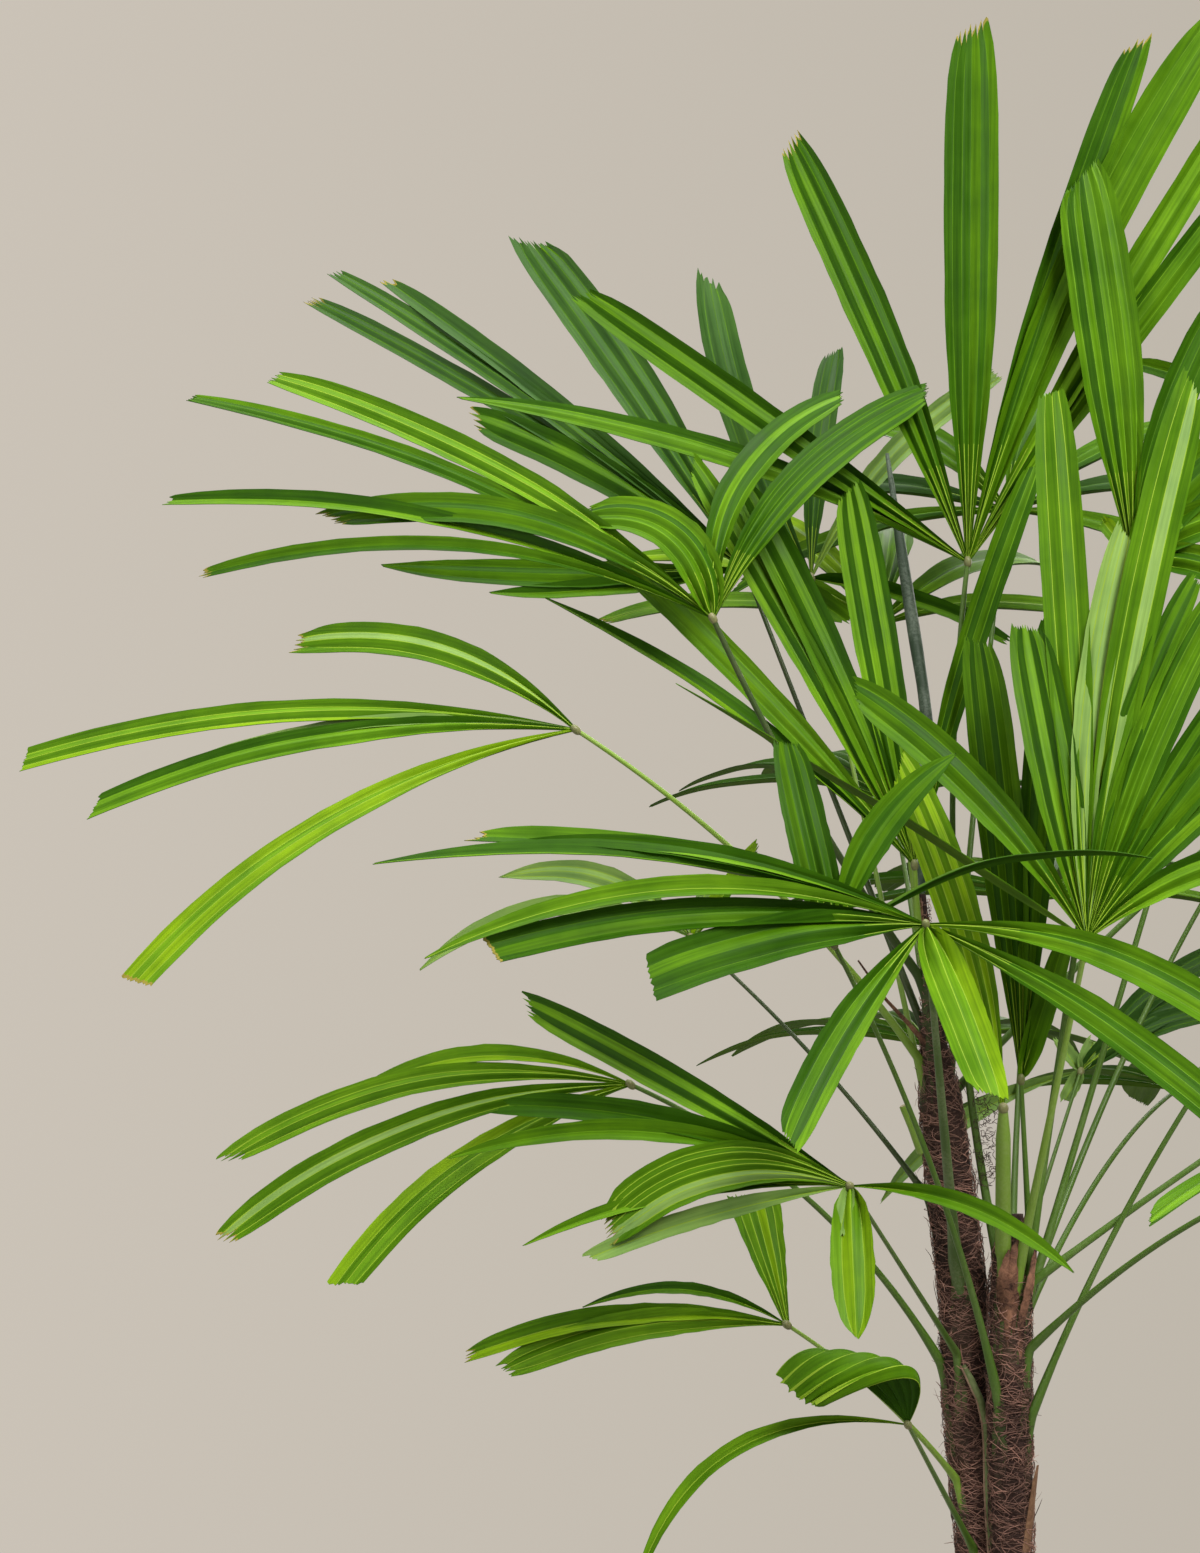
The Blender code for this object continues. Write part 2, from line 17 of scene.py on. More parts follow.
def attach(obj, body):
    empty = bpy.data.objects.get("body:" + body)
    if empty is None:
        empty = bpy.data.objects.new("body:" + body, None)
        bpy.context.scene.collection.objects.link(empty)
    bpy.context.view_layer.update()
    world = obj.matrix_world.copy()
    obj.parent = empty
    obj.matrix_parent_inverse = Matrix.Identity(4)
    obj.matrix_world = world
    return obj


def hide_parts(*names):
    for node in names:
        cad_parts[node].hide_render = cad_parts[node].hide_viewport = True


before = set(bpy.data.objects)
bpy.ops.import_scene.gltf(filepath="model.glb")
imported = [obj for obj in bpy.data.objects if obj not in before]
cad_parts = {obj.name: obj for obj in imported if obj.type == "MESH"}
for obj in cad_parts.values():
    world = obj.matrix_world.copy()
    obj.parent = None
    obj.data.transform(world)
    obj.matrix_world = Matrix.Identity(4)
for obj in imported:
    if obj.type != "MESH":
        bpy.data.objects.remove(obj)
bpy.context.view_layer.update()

bl_info = {
    "name": "Lady palm",
    "version": (1, 0, 0),
    "blender": (4, 5, 0),
    "location": "3D View > Sidebar > Lady palm",
    "description": "Dresses the solids of a lady palm with pleated leaflets, leaf stems, fibre and sheaths",
    "category": "Object",
}

BODY = "root"
SEED = 31
LOBE_SEED, SHEATH_SEED, LEAFLET_SEED = 3, 5, 10

MM = 0.001

# The camera's place in m.
VIEW_POINT = Vector((-0.239, -3.0, 0.781))
# Gap between a stem's foot and its cane, and how far a leaflet keeps off other fronds, in m. Stems keep half
# as far off each other.
SEAT_GAP = 0.0003
CLEARANCE = 0.0022

# Sides of the solid canes and stems, and least radius and length of a solid stem's knuckle in m.
CANE_SIDES = 14
STEM_SIDES = 6
KNUCKLE_RADIUS = 0.0062
KNUCKLE_LENGTH = 0.014
# Thickness of a solid leaflet by its length, and rise of its edges by its width. Then shares of its length,
# with the shares of its width there.
LEAF_THICKNESS_RATIO = 0.0105
LEAF_FOLD_RATIO = 0.10
LEAF_PROFILE = ((0.0, 0.14), (0.2, 0.42), (0.5, 1.0), (0.86, 0.9), (1.0, 0.42))

# Most that a leaflet runs toward or away from the viewer, as a share of its length in the picture.
MOST_LEAN = 0.6

# Shares of a stem's length, with the shares of its radius there. Then the radius of a knuckle as a multiple
# of the stem's, and the share of it at the knuckle's end.
STEM_PROFILE = ((0.0, 1.35), (0.3, 1.1), (0.65, 1.0))
KNUCKLE_TO_STEM = 1.5
KNUCKLE_END = 0.55

# Of a frond made by rule: radius and bow of its stem in mm. As shares of a leaflet's length: how much shorter
# an outermost one is, how far its tip drops and how far its middle bows. Then the width of a middle leaflet,
# how much narrower an outermost one is, both in mm, and the power of the distance by which they get shorter.
SPRAY_STEM_RADIUS = 2.8
SPRAY_STEM_BOW = 20.0
SPRAY_SHORTENING = 0.3
SPRAY_DROP = 0.16
SPRAY_BOW = 0.09
SPRAY_WIDTH = 34.0
SPRAY_NARROWING = 11.0
SPRAY_SHORTENING_POWER = 1.5

# Steps in m by which a leaflet's tip, and the middle of a stem, dodge what is in the way, and how many of
# them to either side. Then the steps in degrees by which a stem's foot goes round its cane, how many to
# either side, and how often it is set against the cane.
LEAF_DODGE_STEP = 0.012
LEAF_DODGES = 15
STEM_DODGE_STEP = 0.007
STEM_DODGES = 6
BEARING_STEP = 14.0
BEARING_TRIES = 4
SEAT_TRIES = 3

# Height, across, toward the viewer and radius of each cane from its foot to its tip, in mm.
CANES = {
    "cane_tall": (
        (0, 0, 0, 19), (14, 0, 0, 17), (40, -1, 0, 14.6), (300, -3, 0, 14), (395, -12, 0, 14),
        (460, -14, 0, 14), (530, -22, 0, 14), (580, -28, 0, 12), (612, -31, 0, 8), (645, -34, 0, 4.4),
        (708, -40, 0, 3),
    ),
    "cane_short": (
        (0, 37, 12, 17), (14, 36, 13, 15.4), (40, 34, 15, 13.2), (160, 23, 21, 12.8), (300, 15, 20, 12.6),
        (400, 13, 23, 12.6), (470, 13, 24, 12.2), (492, 14, 24, 9.5), (512, 18, 24, 3.2),
    ),
}


@dataclass(frozen=True)
class Frond:
    """One frond. Lengths are mm, angles degrees.

    hub is across, up and toward the viewer. face is the turn to the right and the upward tilt of the upper
    side. Each leaflet is across and up from the hub to its tip, how far its middle bows upward, its width,
    and its roll where it has one.
    """

    cane: str
    height: float
    hub: tuple
    face: tuple
    leaflets: tuple
    stem_bow: float = 0.0
    stem_radius: float = 2.8
    green: int = 0


@dataclass(frozen=True)
class Spray:
    """One frond of the sides that the viewer doesn't see, its leaflets spread by rule about the heading."""

    cane: str
    height: float
    bearing: float
    reach: float
    hub_height: float
    length: float
    rise: float
    leaflets: int = 7
    spread: float = 105.0
    green: int = 0


FRONDS = {
    "frond_front": Frond("cane_tall", 482, (-37, 689, 185), (5, 30), (
        (-286, 55, 15, 16, 20), (-343, 38, 22, 18, 25), (-268, 50, 18, 11), (-311, -21, 31, 14),
        (-272, -17, 14, 22), (-174, -35, 9, 30), (-87, -140, 7, 27), (43, -111, 0, 31), (222, -154, 12, 24),
        (238, -104, 26, 24),
    ), stem_radius=4.2, green=1),
    "frond_middle": Frond("cane_tall", 425, (-84, 527, 200), (-8, 22), (
        (-206, 116, 2, 20), (-250, 17, 24, 13), (-224, 50, 14, 16), (-155, -32, 26, 38), (-165, -46, 6, 13),
        (-203, -37, 14, 10), (4, -95, 0, 26), (139, -54, 14, 15), (-7, -31, 0, 10),
    ), stem_radius=2.4, green=1),
    "frond_lowest": Frond("cane_tall", 305, (-48, 379, 150), (-10, 25), (
        (-79, 28, 24, 48), (-172, -110, 43, 13), (-30, 62, 6, 23),
    ), stem_radius=2.6),
    "frond_low": Frond("cane_tall", 347, (-123, 441, 120), (-10, 30), (
        (-127, 11, 16, 13), (-201, -20, 20, 17), (-179, -30, 22, 22), (-22, 83, 0, 24),
    ), stem_bow=6, stem_radius=2.4, green=3),
    "frond_right_front": Frond("cane_short", 484, (63, 680, 130), (-4, 12), (
        (-255, 159, 2, 14, 80), (-149, 158, 13, 25), (-38, 198, 0, 32), (-22, 341, 0, 28), (25, 258, 11, 21),
        (68, 353, 7, 28), (69, 227, 12, 21), (86, 216, 8, 34), (102, 172, 6, 21), (114, 148, 6, 21),
        (126, 120, 8, 20), (150, 55, 16, 21),
    ), stem_radius=3.4),
    "frond_young": Frond("cane_short", 490, (11, 575, 75), (0, 5), (
        (-68, 222, 9, 27),
    ), stem_radius=4.2, green=3),
    "frond_upright": Frond("cane_short", 480, (22, 593, 45), (0, 8), (
        (-27, 277, 3, 29), (20, 298, 0, 24), (28, 89, 0, 15),
    )),
    "frond_inner_left": Frond("cane_short", 410, (-94, 677, 160), (0, 15), (
        (-30, 129, 0, 29), (76, 118, 14, 27), (198, 53, 23, 16, 40),
    ), stem_bow=9, green=1),
    "frond_newest": Frond("cane_tall", 688, (-44, 726, 10), (0, 10), (
        (-229, 166, 13, 13, 30), (-204, 211, 6, 20), (-141, 254, 4, 19), (-110, 242, 5, 24),
        (-41, 238, 0, 28), (76, 252, 6, 18),
    ), stem_radius=3.0, green=3),
    "frond_far_left": Frond("cane_tall", 606, (-254, 810, 70), (-10, 38), (
        (-177, 53, 22, 24), (-345, -20, 20, 19), (-304, -51, 20, 20), (-242, -22, 15, 10),
        (-275, -159, 26, 19),
    ), stem_bow=14, green=3),
    "frond_left": Frond("cane_tall", 660, (-169, 879, 30), (-6, 32), (
        (-85, 62, 28, 29), (-246, 60, 32, 22), (-341, 73, 25, 17), (-319, 27, 40, 17), (-325, 137, 20, 20),
        (-274, 150, 17, 24), (137, 141, 20, 36), (83, 138, 29, 29),
    ), stem_bow=-6, stem_radius=3.4, green=2),
    "frond_lower_left": Frond("cane_tall", 420, (-220, 590, 65), (-8, 35), (
        (-186, -16, 26, 12), (-255, -50, 26, 19), (-255, -98, 23, 22), (-180, -128, 18, 24),
    ), stem_bow=20, green=1),
    "frond_top": Frond("cane_short", 478, (-11, 914, -35), (0, 5), (
        (-243, 169, 0, 23), (-317, 102, 17, 21, 30), (-112, 265, 4, 30), (3, 338, 0, 35), (109, 330, 4, 24),
        (160, 344, 15, 32), (190, 316, 3, 21), (183, 250, 3, 21),
    ), stem_bow=-18, stem_radius=3.2),
    "frond_upper_right": Frond("cane_short", 488, (91, 916, -8), (4, 9), (
        (-32, 247, 2, 42), (58, 162, 8, 24), (98, 91, 10, 33), (-20, 26, 0, 11), (125, 25, 16, 26),
        (100, -50, 18, 22),
    ), stem_radius=3.0, green=3),
    "frond_back_left": Frond("cane_tall", 521, (-182, 681, -60), (-10, 30), (
        (-169, -20, 29, 15), (-120, 37, 19, 18), (43, 60, 0, 12), (10, 34, 0, 10),
    ), stem_bow=6, stem_radius=2.2, green=3),
    "frond_dark_left": Frond("cane_tall", 630, (-149, 910, -85), (-8, 25), (
        (-257, 185, 8, 22), (-224, 180, 6, 18), (-140, 211, 6, 32), (-173, 95, 8, 25), (-226, 2, -5, 20),
        (-159, -15, -4, 14), (66, -35, 4, 16),
    ), stem_radius=2.8, green=2),
    "frond_pale_back": Frond("cane_tall", 566, (-108, 904, -150), (0, 25), (
        (15, 144, 4, 19), (-64, 192, -11, 26), (117, 127, 15, 17), (123, -40, 8, 12),
    ), stem_radius=2.4, green=3),
    "frond_back_right": Frond("cane_short", 474, (59, 598, -120), (0, 28), (
        (-125, -82, 15, 13), (-11, -20, 0, 10), (-15, 22, 0, 10), (9, 22, 0, 10), (99, 79, 10, 18),
        (110, 56, 10, 18), (104, 36, 12, 16),
    ), stem_radius=2.2, green=1),
    "frond_right_low": Frond("cane_short", 392, (205, 690, 110), (12, 24), (
        (330, -40, 34, 23), (305, 55, 24, 25), (235, 140, 15, 29), (135, 215, 8, 31), (280, -125, 36, 23),
        (190, -185, 32, 23), (30, 235, 2, 27),
    ), stem_bow=8),
    "frond_right_far": Frond("cane_short", 470, (300, 650, 10), (14, 28), (
        (300, 90, 22, 25), (215, 175, 12, 27), (330, -20, 34, 23), (290, -115, 38, 23), (205, -190, 34, 22),
        (110, 225, 4, 25),
    ), stem_bow=4, green=1),
    "frond_right_high": Frond("cane_tall", 586, (255, 835, -50), (14, 18), (
        (320, 60, 26, 25), (275, 150, 18, 27), (190, 225, 8, 31), (85, 270, 4, 31), (325, -45, 38, 23),
        (240, -140, 38, 23),
    ), stem_bow=6, green=2),
    "frond_right_top": Frond("cane_short", 460, (185, 985, -90), (10, 9), (
        (280, 120, 20, 26), (215, 200, 12, 29), (120, 250, 6, 31), (15, 245, 2, 28), (-96, 53, 10, 13),
        (300, 20, 30, 24), (240, -80, 34, 22),
    )),
}

SPRAYS = {
    "frond_rear_low": Spray("cane_tall", 455, 91, 240, 600, 270, 0.10, leaflets=6, spread=54, green=1),
    "frond_rear_low_right": Spray("cane_short", 440, 58, 240, 575, 265, 0.06, spread=95, green=0),
    "frond_rear_left": Spray("cane_tall", 545, 95, 235, 765, 275, 0.22, leaflets=6, spread=52, green=2),
    "frond_rear_middle": Spray("cane_short", 466, 80, 215, 700, 280, 0.18, spread=90, green=0),
    "frond_rear_right": Spray("cane_short", 452, 36, 240, 790, 280, 0.20, green=1),
    "frond_rear_high": Spray("cane_tall", 598, 100, 160, 880, 270, 0.55, leaflets=6, spread=70, green=3),
    "frond_rear_top": Spray("cane_tall", 574, 72, 175, 955, 265, 0.60, green=2),
    "frond_front_right": Spray("cane_short", 430, -38, 250, 560, 260, 0.05, green=1),
}

PLANS = {**FRONDS, **SPRAYS}

# The spear leaf: its line across, up and toward the viewer, and its radii along it, in mm.
SPEAR_PATH = ((-40, 708.6, 0), (-40, 722, -1), (-33, 800, -40), (-49, 900, -105), (-61, 981, -150))
SPEAR_RADII = (2.6, 3.0, 3.9, 4.1, 1.2)

# The stub of the cut stem: its height on the taller cane and its length in mm, its bearing and its lean from
# upright in degrees, and its radii from foot to end in mm.
CUT_STEM_HEIGHT = 550
CUT_STEM_BEARING = 200
CUT_STEM_LENGTH = 30
CUT_STEM_LEAN = 24
CUT_STEM_RADII = (3.5, 2.6, 2.6)


def unit(vectors):
    return vectors / np.linalg.norm(vectors, axis=-1, keepdims=True)


def bezier(start, control, end, share):
    """Points of start (1-t)^2 + control 2t(1-t) + end t^2, with share for t. Takes vectors or arrays."""
    return start * (1 - share) ** 2 + control * 2 * share * (1 - share) + end * share**2


@dataclass(frozen=True)
class Leaflet:
    """A strap from its frond's knuckle to its tip, in metres. lift is how far its middle is off the chord."""

    hub: Vector
    tip: Vector
    lift: Vector
    upper: Vector
    width: float
    roll: float
    dodge: Vector
    index: int

    def points(self, share, across, height, twist=0.0):
        """Points of the strap at these shares of its length, and the normals of its upper side there.

        They are its centre line, a bezier, plus across along its side and height along its upper side. The
        sides turn about it by roll + twist t^2.
        """
        hub, tip, lift, upper = (np.array(v) for v in (self.hub, self.tip, self.lift, self.upper))
        control = (hub + tip) / 2 + lift * 2
        t = share[..., None]
        centre = bezier(hub, control, tip, t)
        along = unit((control - hub) * (1 - t) + (tip - control) * t)
        square = unit(upper - along * (along * upper).sum(-1, keepdims=True))
        side = np.cross(along, square)
        turn = math.radians(self.roll) + twist * t**2
        normal = square * np.cos(turn) + side * np.sin(turn)
        side = side * np.cos(turn) - square * np.sin(turn)
        return centre + side * across[..., None] + normal * height[..., None], normal

    def shell(self, swell=0.0):
        """The strap folded along its midrib and cut off blunt at the tip, thicker on every side by swell."""
        share, width = np.array(LEAF_PROFILE).T[:, :, None]
        half, fold = self.width * width / 2 + swell, self.width * width * LEAF_FOLD_RATIO
        thick = (self.tip - self.hub).length * LEAF_THICKNESS_RATIO / 2 + swell
        rings, _ = self.points(
            share, half * (0, -1, 0, 1), fold * (0, 1, 0, 1) + thick * np.array((1, 0, -1, 0))
        )
        return loft([[Vector(point) for point in ring] for ring in rings])


@dataclass(frozen=True)
class Stem:
    """A frond's stem from its foot to its knuckle, in metres. bow moves its middle off the chord."""

    foot: Vector
    hub: Vector
    bow: Vector
    radius: float

    def shell(self, swell=0.0):
        """The stem, widest at its foot, with the knuckle from which the leaflets spread."""
        bend = (self.foot + self.hub) / 2 + self.bow * 2
        below_knuckle = 1 - KNUCKLE_LENGTH / (self.hub - self.foot).length
        profile = (*STEM_PROFILE, (below_knuckle, 1.0))
        path = [bezier(self.foot, bend, self.hub, share) for share, _ in profile]
        radii = [self.radius * radius_share for _, radius_share in profile]
        knuckle = max(KNUCKLE_RADIUS, self.radius * KNUCKLE_TO_STEM)
        path += [self.hub, self.hub + (self.hub - path[-1]).normalized() * KNUCKLE_RADIUS]
        radii += [knuckle, knuckle * KNUCKLE_END]
        return tube(path, [size + swell for size in radii], STEM_SIDES)


def seen(across, up, toward):
    """The point that looks to stand at (across, up) in the canes' plane, brought toward the viewer."""
    on_plane = Vector((across * MM, 0.0, up * MM))
    return on_plane + (VIEW_POINT - on_plane) * (-toward * MM / VIEW_POINT.y)


def facing(turn, tilt):
    """Unit vector toward the viewer, turned to the right and tilted up by these angles."""
    turn, tilt = math.radians(turn), math.radians(tilt)
    return Vector((math.sin(turn) * math.cos(tilt), -math.cos(turn) * math.cos(tilt), math.sin(tilt)))


def toward_bearing(bearing):
    """Level unit vector: 0 is to the right, 90 away from the viewer."""
    bearing = math.radians(bearing)
    return Vector((math.cos(bearing), math.sin(bearing), 0.0))


def raised(run, height):
    """Vector of this length square to run as the viewer sees it, on its upper side."""
    square = Vector((-run.z, 0.0, run.x)).normalized()
    return square * (height if square.z >= 0 else -height)


def cane_line(name, heights):
    """Centre line and radius of a cane at these heights in metres, on straight lines between its rows."""
    rows = np.array(CANES[name], float)
    across, toward, radius = (np.interp(heights / MM, rows[:, 0], rows[:, k]) * MM for k in (1, 2, 3))
    return np.stack([across, -toward, heights], axis=-1), radius


def cane_at(name, height):
    """Centre and radius of a cane at this one height in mm."""
    centre, radius = cane_line(name, np.array([height * MM]))
    return Vector(centre[0]), radius[0]


class Shell:
    """Points and triangles of one closed surface that faces out."""

    def __init__(self, points, triangles):
        volume = sum(points[a].dot(points[b].cross(points[c])) for a, b, c in triangles)
        self.points = points
        self.triangles = triangles if volume > 0 else [face[::-1] for face in triangles]
        self.low = Vector(tuple(min(p[i] for p in points) for i in range(3)))
        self.high = Vector(tuple(max(p[i] for p in points) for i in range(3)))
        self.tree = BVHTree.FromPolygons(points, self.triangles)

    def touches(self, other):
        apart = any(self.low[i] > other.high[i] or other.low[i] > self.high[i] for i in range(3))
        return not apart and bool(self.tree.overlap(other.tree))

    def gap_to(self, other):
        return min(other.tree.find_nearest(point)[3] for point in self.points)


def loft(rings):
    """A shell of rings with equal numbers of points, closed at both ends."""
    sides = len(rings[0])
    points = [point for ring in rings for point in ring]
    triangles = []
    for level in range(len(rings) - 1):
        for side in range(sides):
            low, low_next = level * sides + side, level * sides + (side + 1) % sides
            triangles.append((low, low_next, low_next + sides))
            triangles.append((low, low_next + sides, low + sides))
    last = len(points) - sides
    for side in range(1, sides - 1):
        triangles.append((side + 1, side, 0))
        triangles.append((last, last + side, last + side + 1))
    return Shell(points, triangles)


def tube(path, radii, sides):
    """A tube along path, with its rings square to it."""
    rings = []
    for index, (centre, radius) in enumerate(zip(path, radii)):
        before, after = path[max(index - 1, 0)], path[min(index + 1, len(path) - 1)]
        along = (after - before).normalized()
        across = Vector((0, 0, 1)) if abs(along.z) < 0.5 else Vector((1, 0, 0))
        across = (across - along * across.dot(along)).normalized()
        other = along.cross(across)
        rings.append([
            centre + (across * math.cos(angle) + other * math.sin(angle)) * radius
            for angle in (math.tau * side / sides for side in range(sides))
        ])
    return loft(rings)


def cane_shell(rows):
    """A cane with level rings, so that its foot is cut flat on the ground."""
    rings = []
    for height, across, toward, radius in rows:
        centre = Vector((across, -toward, height))
        bearings = (360.0 * side / CANE_SIDES for side in range(CANE_SIDES))
        rings.append([(centre + toward_bearing(bearing) * radius) * MM for bearing in bearings])
    return loft(rings)


def seated(plan, cane, hub, bow, radius, bearing):
    """A stem whose foot is SEAT_GAP off the cane at this bearing, and its shell."""
    centre, cane_radius = cane_at(plan.cane, plan.height)
    offset = cane_radius + 2 * radius
    for _ in range(SEAT_TRIES):
        stem = Stem(centre + toward_bearing(bearing) * offset, hub, bow, radius)
        shell = stem.shell()
        offset += SEAT_GAP - shell.gap_to(cane)
    return stem, shell


def spray_hub(spray):
    """The knuckle of a frond made by rule, and the direction in which its leaflets go on."""
    centre, _ = cane_at(spray.cane, spray.height)
    outward = toward_bearing(spray.bearing)
    hub = centre + outward * spray.reach * MM
    hub.z = spray.hub_height * MM
    return hub, (outward + Vector((0, 0, spray.rise))).normalized()


def stem_to_hub(plan):
    """Knuckle, bow and radius of a frond's stem."""
    if isinstance(plan, Spray):
        return spray_hub(plan)[0], Vector((0, 0, SPRAY_STEM_BOW * MM)), SPRAY_STEM_RADIUS * MM
    hub = seen(*plan.hub)
    return hub, raised(hub - cane_at(plan.cane, plan.height)[0], plan.stem_bow * MM), plan.stem_radius * MM


def leaflets_seen(frond):
    """The leaflets of a frond that the viewer sees, laid in the plane of its upper side."""
    upper = facing(*frond.face)
    across, up, toward = frond.hub
    hub = seen(*frond.hub)
    for index, (to_side, to_top, bow, width, *roll) in enumerate(frond.leaflets):
        reach = MOST_LEAN * math.hypot(to_side, to_top)
        nearer = (upper.x * to_side + upper.z * to_top) / upper.y
        tip = seen(across + to_side, up + to_top, toward + max(-reach, min(reach, nearer)))
        lift = raised(Vector((to_side, 0.0, to_top)), bow * MM)
        yield Leaflet(hub, tip, lift, upper, width * MM, sum(roll), (tip - VIEW_POINT).normalized(), index)


def leaflets_by_rule(spray):
    """Leaflets spread evenly about the frond's heading, the middle ones longest and widest."""
    hub, heading = spray_hub(spray)
    side = heading.cross(Vector((0, 0, 1))).normalized()
    upper = side.cross(heading)
    for index in range(spray.leaflets):
        place = 2 * index / (spray.leaflets - 1) - 1
        angle = math.radians(spray.spread * place)
        outward = heading * math.cos(angle) + side * math.sin(angle)
        length = spray.length * MM * (1 - SPRAY_SHORTENING * abs(place) ** SPRAY_SHORTENING_POWER)
        tip = hub + outward * length - Vector((0, 0, SPRAY_DROP * length))
        width = (SPRAY_WIDTH - SPRAY_NARROWING * abs(place)) * MM
        yield Leaflet(hub, tip, upper * SPRAY_BOW * length, upper, width, 0.0, upper, index)


def dodges(step, most):
    """0, then steps to either side, ever wider."""
    yield 0.0
    for count in range(1, most + 1):
        yield step * count
        yield -step * count


def place_stem(name, plan, placed):
    """The first stem clear of all placed so far, over bearings near its knuckle's and bows along the view."""
    cane = placed[plan.cane][0]
    centre, _ = cane_at(plan.cane, plan.height)
    hub, bow, radius = stem_to_hub(plan)
    own_bearing = math.degrees(math.atan2(hub.y - centre.y, hub.x - centre.x))
    others = [shell for other, shells in placed.items() if other != plan.cane for shell in shells]
    for turn in dodges(BEARING_STEP, BEARING_TRIES):
        for shift in dodges(STEM_DODGE_STEP, STEM_DODGES):
            stem, shell = seated(plan, cane, hub, bow + Vector((0.0, shift, 0.0)), radius, own_bearing + turn)
            wide = stem.shell(CLEARANCE / 2)
            if not shell.touches(cane) and not any(wide.touches(other) for other in others):
                return stem
    raise ValueError(f"{name} has no clear way from its cane")


def place_leaflets(name, leaflets, placed):
    """The leaflets of one frond, each moved along its dodge until clear. One with no room is left out."""
    others = [shell for other, shells in placed.items() if other != name for shell in shells]
    for leaflet in leaflets:
        for shift in dodges(LEAF_DODGE_STEP, LEAF_DODGES):
            moved = replace(leaflet, tip=leaflet.tip + leaflet.dodge * shift)
            wide = moved.shell(CLEARANCE)
            if not any(wide.touches(other) for other in others):
                yield moved
                break


def lay_out():
    """{node: its stem and leaflets} for all fronds: stems first, then leaflets, front fronds before rear.

    The spear and the stub of the cut stem stand in no frond's way, so they aren't placed.
    """
    placed = {name: [cane_shell(rows)] for name, rows in CANES.items()}
    fronds = {}
    for name, plan in PLANS.items():
        stem = place_stem(name, plan, placed)
        fronds[name] = [stem]
        placed[name] = [stem.shell()]
    for name, plan in PLANS.items():
        leaflets = leaflets_by_rule(plan) if isinstance(plan, Spray) else leaflets_seen(plan)
        fronds[name] += place_leaflets(name, leaflets, placed)
        placed[name] = [piece.shell() for piece in fronds[name]]
    return fronds


# For each leaflet: its green (k dark, b bluish, m mid, f fresh, l lime, p pale, h mid with pale streaks of
# painted sheen), its pleats, and its tip (b blunt, s split, p pointed, c cut square, o oval, w a wedge). A
# frond without a row gets them by rule.
LEAF_LOOKS = {
    "frond_front": "k1s m1p m1p f1p k2c k2c m2b f2b m2b m2b",
    "frond_middle": "m2s m1p k1s h4s p1b m1p f2o m1p p1b",
    "frond_lowest": "k4b f1p k2b",
    "frond_low": "m1p f1s f2s f3w",
    "frond_right_front": "m1p m2b m3b h2b p2b h2b k2b m3b k2b k2b m2b m2b",
    "frond_young": "l3b",
    "frond_upright": "m3b k2b m1b",
    "frond_inner_left": "k3b k2p k1p",
    "frond_newest": "m1p m2b m2b m2b m3b m2b",
    "frond_far_left": "h2s f2c m2c p1b l2c",
    "frond_left": "m3b k2s m1s k1s k2b f2b k4b m2b",
    "frond_lower_left": "f1p f2s h2s f2c",
    "frond_top": "m2s m2p k3s k3s k2s m2b m2b m2b",
    "frond_upper_right": "m4b k2b k2b f1b m2b m2b",
    "frond_back_left": "p1p p2p f1b p1b",
    "frond_dark_left": "b2s b1s b3s k2s k2p m1p m1b",
    "frond_pale_back": "b2b b2s p2b m1b",
    "frond_back_right": "p1p p1b p1b p1b b2b b2b b2b",
}
# Slots in leaf_materials, greens that may stand beside each other on neighbouring facets as painted shade and
# light, and greens by rule for each frond's green number.
GREEN_SLOTS = {"b": 0, "k": 1, "m": 2, "f": 3, "l": 4, "p": 5, "h": 2}
GREEN_LADDER = "kmfl"
RULE_GREENS = ("kkmm", "mmkf", "kbkm", "fmfl")
SLOT_RIB, SLOT_UNDER, SLOT_TIP = 6, 7, 8
RIB_SLOTS = {"b": 2, "k": 2, "m": 3, "f": SLOT_RIB, "l": SLOT_RIB, "p": SLOT_RIB, "h": SLOT_RIB}
# Share of a leaflet's length from the hub along which its ribs are pale.
PALE_HUB_SHARE = 0.2

# Share of the width of its solid and slant of the tip, by number, of the leaflets that differ from the rule.
LEAF_TRIMS = {
    "frond_front": {5: (1.05, 0.1), 6: (0.88, 0.2), 7: (0.92, 0.2)},
    "frond_middle": {3: (0.88, 0.1), 7: (0.8, 0.1)},
    "frond_lowest": {1: (0.8, 0.1)},
    "frond_low": {0: (0.62, 0.1), 1: (0.85, 0.1), 3: (1.3, 0.1)},
    "frond_right_front": {2: (0.95, 0.1), 6: (0.82, 0.1), 7: (0.8, 0.1), 8: (0.8, 0.1)},
    "frond_inner_left": {0: (0.88, 0.1), 1: (0.82, 0.1), 2: (0.5, 0.1)},
    "frond_left": {
        2: (0.75, 0.2), 3: (0.62, 0.1), 4: (0.68, 0.1), 5: (0.88, 0.1), 6: (0.8, 0.2), 7: (0.8, 0.15),
    },
    "frond_top": {2: (0.94, -0.16), 3: (1.0, -0.2)},
    "frond_upper_right": {0: (1.0, -0.24)},
    "frond_dark_left": {0: (0.66, 0.2), 1: (0.8, 0.2)},
}
# Roll in degrees of a leaflet that is drawn turned further than its solid.
LEAF_ROLLS = {("frond_inner_left", 2): 72}
# Where a broad leaflet is drawn as two narrow ones, how far the second one's tip lies from the first's, in m.
LEAF_TWINS = {("frond_dark_left", 0): (-0.016, 0.0, -0.018)}
# Share of the rise of its solid that a leaflet has, where it lies flatter.
LEAF_RISES = {("frond_low", 1): 0.75, ("frond_low", 2): 0.6, ("frond_left", 3): 0.78}

